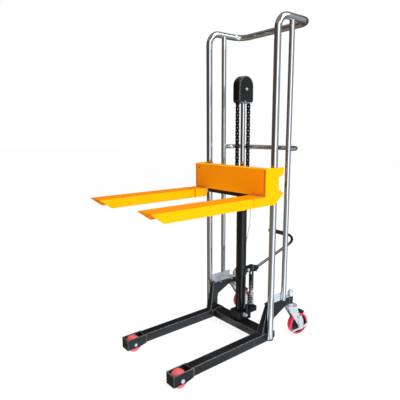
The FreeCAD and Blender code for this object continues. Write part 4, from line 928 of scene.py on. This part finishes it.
def releaseLever(size):
    # a bar from the hub to the knob, then the ball: radius follows sqrt(1 - s^2) over the knob
    hub, knob = np.array(size["hub"], float), np.array(size["knob"], float)
    way = unit(knob - hub)
    ball, rod = size["knobDia"] / 2, size["rod"] / 2
    turn = np.linspace(size["neckAngle"] - np.pi / 2, np.pi / 2 - size["tipAngle"], size["knobSteps"])
    bar = [hub + way * size["rodStart"], knob - way * (ball + size["rodGap"])]
    centres = np.concatenate([bar, knob + way * ball * np.sin(turn)[:, None]])
    radius = np.concatenate([[rod, rod], ball * np.cos(turn)])
    tubePiece("releaseStick", centres, radius, "black_knob", "release", size["sides"], lean=size["lean"])
    turnedPiece("releaseHub", size["collar"], hub, (1, 0, 0), "zinc_plate", "release", size["collarSides"],
                ["release_lever"])


releaseLever(release)
print("foot pump made")

weld = {
    "radius": 2.6, "ripple": 0.22, "pitch": 3.4, "step": 0.85, "taper": 3, "tip": 0.15, "sides": 10, "least": 8,
}
# start and end of each bead on the right side, its finish, its body and its share of the usual radius
weldLines = {
    "weldBracketFoot": ((230.3, 50, 79), (230.3, 131, 79), "black_paint", "base", 1),
    "weldPostFront": ((230.1, 76.5, 57), (230.1, 76.5, 78), "black_paint", "base", 1),
    "weldPostRear": ((230.1, 99.5, 57), (230.1, 99.5, 78), "black_paint", "base", 1),
    "weldShoe": ((232.7, -417.6, 36), (232.7, -417.6, 77), "black_paint", "base", 1),
    # the paler black of the leg seam's bead is a painted highlight
    "weldLegSeam": ((229.7, -14, 32), (229.7, -14, 78), "black_weld_highlight", "base", 0.9),
    "weldBeamFront": ((180.1, 55, 42), (180.1, 55, 78), "black_paint", "base", 1),
    "weldBeamTop": ((180.1, 57, 79), (180.1, 133, 79), "black_paint", "base", 1),
    "weldRearPost": ((230.1, 184, 246), (230.1, 184, 279), "zinc_plate", "base", 1),
    "weldPlateSide": ((266, 8.4, 838), (266, 8.4, 964), "yellow_paint", "carriage", 1),
    "weldSeam": ((271.2, -84, 790), (271.2, -84, 828), "yellow_paint", "carriage", 0.7),
}


def weldBead(name, start, end, finish, body, scale, size):
    # a thin bar whose radius ripples along its length and narrows at its ends
    length = float(np.linalg.norm(end - start))
    along = np.linspace(0, 1, max(size["least"], int(length / size["step"])))
    ripple = 1 + size["ripple"] * np.abs(np.sin(np.pi * along * length / size["pitch"])) - size["ripple"] / 2
    taper = np.clip(np.minimum(along, 1 - along) * length / size["taper"] + size["tip"], 0, 1) ** 0.5
    path = start + along[:, None] * (end - start)
    tubePiece(name, path, scale * size["radius"] * ripple * taper, finish, body, size["sides"])


for side, hand in hands:
    for name, (start, end, *how) in weldLines.items():
        flip = np.array([side, 1, 1])
        weldBead(f"{name}_{hand}", start * flip, end * flip, *how, weld)
print("welds made")

plateTrim = {
    "lip": 3.6, "lipIn": 2.9, "lipInset": 1, "endShare": 0.8, "lipSides": 24,
    "gapFrom": 7.8, "gapTo": 2.2, "gapLow": 12, "gapHigh": 3, "gapDeep": 1, "proud": 0.2,
    "pegX": -236, "pegZ": 946, "pegDia": 8.8, "pegDeep": 2, "pegProud": 0.6, "pegSides": 28,
}


def trimPlate(size):
    # a rolled lip along the plate's top and left end in a brighter yellow as a painted highlight, a dark strip at
    # each end as a painted shadow in the gap, and a dark plug in the peg hole
    low, high = (1000 * np.array(corner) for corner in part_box("front_plate"))
    y, z, bottom = low[1] + size["lipIn"], high[2] - size["lipIn"], low[2] + size["gapLow"]
    top = [(low[0] + size["lipInset"], y, z), (high[0] - size["lipInset"], y, z)]
    end = [(low[0] + size["lipIn"] / 2, y, z), (low[0] + size["lipIn"] / 2, y, bottom)]
    # the lip's brighter yellow is a painted highlight
    for name, path, share in (("plateLipTop", top, 1), ("plateLipEnd", end, size["endShare"])):
        tubePiece(name, path, size["lip"] * share, "yellow_lip_highlight", "carriage", size["lipSides"])
    # a dark strip at each end of the plate stands for the gap's shadow: a painted shadow
    front = low[1] - size["proud"]
    back = front + size["gapDeep"]
    for (side, hand), end in zip(hands, (low[0], high[0])):
        first, last = end - side * size["gapFrom"], end - side * size["gapTo"]
        corners = [(*corner, up) for up in (bottom, high[2] - size["gapHigh"])
                   for corner in ((first, front), (last, front), (last, back), (first, back))]
        addPiece("plateGapShadow_" + hand, corners, closedFaces(2, 4), "yellow_gap_shadow", "carriage")
    rows = domeRows(size["pegDia"], size["pegDeep"], size["pegProud"]) * mirrored
    place = (size["pegX"], low[1], size["pegZ"])
    turnedPiece("pegPlug", rows, place, (0, 1, 0), "grip_rubber", "carriage", size["pegSides"], ring=False)


trimPlate(plateTrim)

# a dark domed plug under each front post: heights and distances from the post's middle
postPlug = {
    "x": 247.3, "y": 88, "sides": 48,
    "rows": [(54.4, 0.1), (54.4, 18.4), (51, 18.4), (48.4, 15.824), (47, 11.04), (46.4, 0.1)],
}
for side, hand in hands:
    place = (side * postPlug["x"], postPlug["y"], 0)
    turnedPiece("postPlug_" + hand, postPlug["rows"], place, (0, 0, 1), "grip_rubber", "base",
                postPlug["sides"], ring=False)

# a low screw head on the cover: heights and distances from its middle
coverScrew = {
    "place": (26, 104, 1302), "sides": 24,
    "rows": [(-0.8, 0.07), (-0.8, 3.5), (0.5, 3.5), (1.36, 2.45), (1.6, 0.07)],
}
turnedPiece("coverScrew", coverScrew["rows"], coverScrew["place"], (1, 0, 0), "zinc_plate", "ram",
            coverScrew["sides"], ring=False)
print("trim made")

# pieces that stay as solids take their finishes
for node, item in nodes.items():
    for place in item.material_slots:
        place.material = materials[slotOf[node]]

# floor, backdrop and light
studio = {
    "paper": (0.93, 0.93, 0.93), "paperRough": 0.85, "floorHalf": 30, "floorDrop": 0.0005,
    "glow": 1.1, "glowShare": 0.8, "daylight": 0.53, "daylightTone": (1.0, 0.985, 0.965),
    # place, target, side length and power of each lamp
    "lamps": {
        "keyLamp": ((4.2, -0.4, 2.2), (0, 0, 0.8), 2.0, 288),
        "fillLamp": ((-0.6, -4.0, 2.0), (0, 0, 0.8), 2.4, 3),
        "topLamp": ((0.3, 0.2, 4.2), (0, 0, 0.6), 2.6, 48),
    },
}


def rayOf(tree, *kinds):
    # one for a ray of any of these kinds
    path = addNode(tree, "LightPath")
    seen = path[kinds[0]]
    for kind in kinds[1:]:
        seen = mathNode(tree, "MAXIMUM", seen, path[kind])
    return seen


def plainGlow(tree, tone, strength=1.0, kind="Emission"):
    return addNode(tree, kind, {"Color": tone, "Strength": strength})[0]


def mixShaders(tree, factor, first, second):
    return addNode(tree, "MixShader", {0: factor, 1: first, 2: second})[0]


def studioWorld(size):
    # white to camera, glossy and transmission rays, soft daylight to all others
    world = bpy.data.worlds.new("studio")
    bpy.context.scene.world = world
    world.use_nodes = True
    tree = world.node_tree
    tree.nodes.clear()
    shown = plainGlow(tree, white, 1.0, "Background")
    lit = plainGlow(tree, size["daylightTone"], size["daylight"], "Background")
    seen = rayOf(tree, "Is Camera Ray", "Is Glossy Ray", "Is Transmission Ray")
    addNode(tree, "OutputWorld", {"Surface": mixShaders(tree, seen, lit, shown)})


def floorSheet(size):
    # pale paper that keeps its shadows, mostly white to the camera and in reflections
    half, z = size["floorHalf"], -size["floorDrop"]
    mesh = bpy.data.meshes.new("studioFloor")
    corners = [(-half, -half, z), (half, -half, z), (half, half, z), (-half, half, z)]
    mesh.from_pydata(corners, [], [(0, 1, 2, 3)])
    material, tree = newMaterial("studioFloor")
    sockets = {"Base Color": size["paper"], "Roughness": size["paperRough"]}
    paper = addNode(tree, "BsdfPrincipled", sockets)["BSDF"]
    part = mathNode(tree, "MULTIPLY", rayOf(tree, "Is Camera Ray", "Is Glossy Ray"), size["glowShare"])
    shown = mixShaders(tree, part, paper, plainGlow(tree, white, size["glow"]))
    addNode(tree, "OutputMaterial", {"Surface": shown})
    mesh.materials.append(material)
    addObject("studioFloor", mesh)


def areaLamp(name, place, target, side, power):
    data = bpy.data.lights.new(name, "AREA")
    data.shape = "RECTANGLE"
    data.size = data.size_y = side
    data.energy = power
    lamp = addObject(name, data)
    lamp.visible_glossy = False
    lamp.location = place
    lamp.rotation_euler = (Vector(target) - Vector(place)).to_track_quat("-Z", "Y").to_euler()


wallDusk, wallNight = (0.085, 0.064, 0.054), (0.07, 0.068, 0.062)
sand, groundGlare = (0.19, 0.17, 0.145), (1.35, 1.45, 1.6)
reflectionRoom = {
    "radius": 5.0, "height": 5.5, "floorLift": 0.002, "innerRadius": 0.02, "steps": 96,
    # tones round the room, each at its angle in degrees from +X: a dark side, a tall window and a dim side
    "wall": [
        (-180, wallDusk), (-70, wallDusk), (-60, (0.15, 0.14, 0.13)), (-49, (0.28, 0.28, 0.275)),
        (-37, (0.65, 0.66, 0.68)), (-27, (1.6, 1.7, 1.82)), (-8, (1.75, 1.85, 2.0)), (2, (0.80, 0.90, 1.0)),
        (10, (0.42, 0.46, 0.51)), (50, (0.36, 0.40, 0.44)), (68, (0.15, 0.16, 0.165)), (84, wallNight),
        (136, wallNight), (150, wallDusk), (180, wallDusk),
    ],
    "ground": [
        (-180, sand), (-70, sand), (-54, (0.22, 0.21, 0.19)), (-37, (0.34, 0.34, 0.33)), (-22, (0.75, 0.80, 0.85)),
        (-11, groundGlare), (7, groundGlare), (19, (0.78, 0.86, 0.93)), (31, (0.40, 0.44, 0.48)),
        (70, (0.25, 0.27, 0.29)), (90, (0.12, 0.12, 0.115)), (136, (0.10, 0.098, 0.09)), (150, sand), (180, sand),
    ],
    "ceiling": (0.24, 0.225, 0.205),
    # a bright curved panel high up: its angles, its rows of reach and height, and its tone
    "panel": ((18, 52), [(4.95, 3.4), (4.4, 4.3), (3.2, 4.9), (2.0, 5.2)], (4.2, 4.4, 4.6)),
    # pale floor close by: from and to along X and along Y, and how bright
    "paper": {
        "paperRight": (0.265, 0.37, -0.56, 0.15, 0.55), "paperBehind": (0.265, 0.9, 0.15, 0.95, 0.40),
        "paperMiddle": (-0.18, -0.04, -0.56, 0.12, 1.0), "paperRear": (-0.25, 0.23, 0.25, 0.95, 1.0),
    },
    "paperTone": (0.86, 0.98, 1.08), "paperLift": 0.003,
}


def turningGlow(tree, stops):
    # the angle round the upright axis, as a share of one turn, picks the tone
    where = addNode(tree, "SeparateXYZ", {"Vector": objectPlace(tree)})
    angle = mathNode(tree, "ARCTAN2", where["Y"], where["X"])
    ramp = tree.nodes.new("ShaderNodeValToRGB")
    band = ramp.color_ramp
    band.interpolation = "EASE"
    for element, (degrees, tone) in zip(band.elements, (stops[0], stops[-1])):
        element.position, element.color = (degrees + 180) / 360, (*tone, 1)
    for degrees, tone in stops[1:-1]:
        band.elements.new((degrees + 180) / 360).color = (*tone, 1)
    tree.links.new(mathNode(tree, "MULTIPLY_ADD", angle, 0.5 / math.pi, 0.5), ramp.inputs["Fac"])
    return plainGlow(tree, ramp.outputs["Color"])


def glowSheet(name, points, faces, makeGlow, *tones):
    # a glowing sheet that only mirror-like surfaces see
    mesh = bpy.data.meshes.new(name)
    mesh.from_pydata(np.asarray(points).tolist(), [], faces)
    material, tree = newMaterial(name)
    addNode(tree, "OutputMaterial", {"Surface": makeGlow(tree, *tones)})
    material.cycles.emission_sampling = "NONE"
    mesh.materials.append(material)
    sheet = addObject(name, mesh)
    for kind in ("camera", "diffuse", "shadow", "transmission", "volume_scatter"):
        setattr(sheet, "visible_" + kind, False)


def turnedSheet(name, angles, rows, makeGlow, *tones):
    # a sheet carried round the object: each row is a radius and a height, swept from one angle to the other
    turn = np.radians(np.linspace(*angles, reflectionRoom["steps"] + 1))
    rows = np.asarray(rows, float)
    height = np.broadcast_to(rows[:, 1:], (len(rows), len(turn)))
    points = np.stack([rows[:, :1] * np.cos(turn), rows[:, :1] * np.sin(turn), height], axis=2)
    glowSheet(name, points.reshape(-1, 3), sheetFaces(len(rows), len(turn)), makeGlow, *tones)


def standRoom(size):
    radius, inner, height, lift = (size[key] for key in ("radius", "innerRadius", "height", "floorLift"))
    whole = (-180, 180)
    turnedSheet("roomWall", whole, [(radius, 0), (radius, height)], turningGlow, size["wall"])
    turnedSheet("roomGround", whole, [(inner, lift), (radius, lift)], turningGlow, size["ground"])
    turnedSheet("roomCeiling", whole, [(inner, height), (radius, height)], plainGlow, size["ceiling"])
    angles, rows, tone = size["panel"]
    turnedSheet("roomPanel", angles, rows, plainGlow, tone)
    lift = size["paperLift"]
    for name, (left, right, front, rear, strength) in size["paper"].items():
        corners = [(left, front, lift), (right, front, lift), (right, rear, lift), (left, rear, lift)]
        glowSheet(name, corners, [[0, 1, 2, 3]], plainGlow, size["paperTone"], strength)


studioWorld(studio)
floorSheet(studio)
for name, lamp in studio["lamps"].items():
    areaLamp(name, *lamp)
standRoom(reflectionRoom)
bpy.context.scene.view_settings.view_transform = "Standard"
print("studio set")
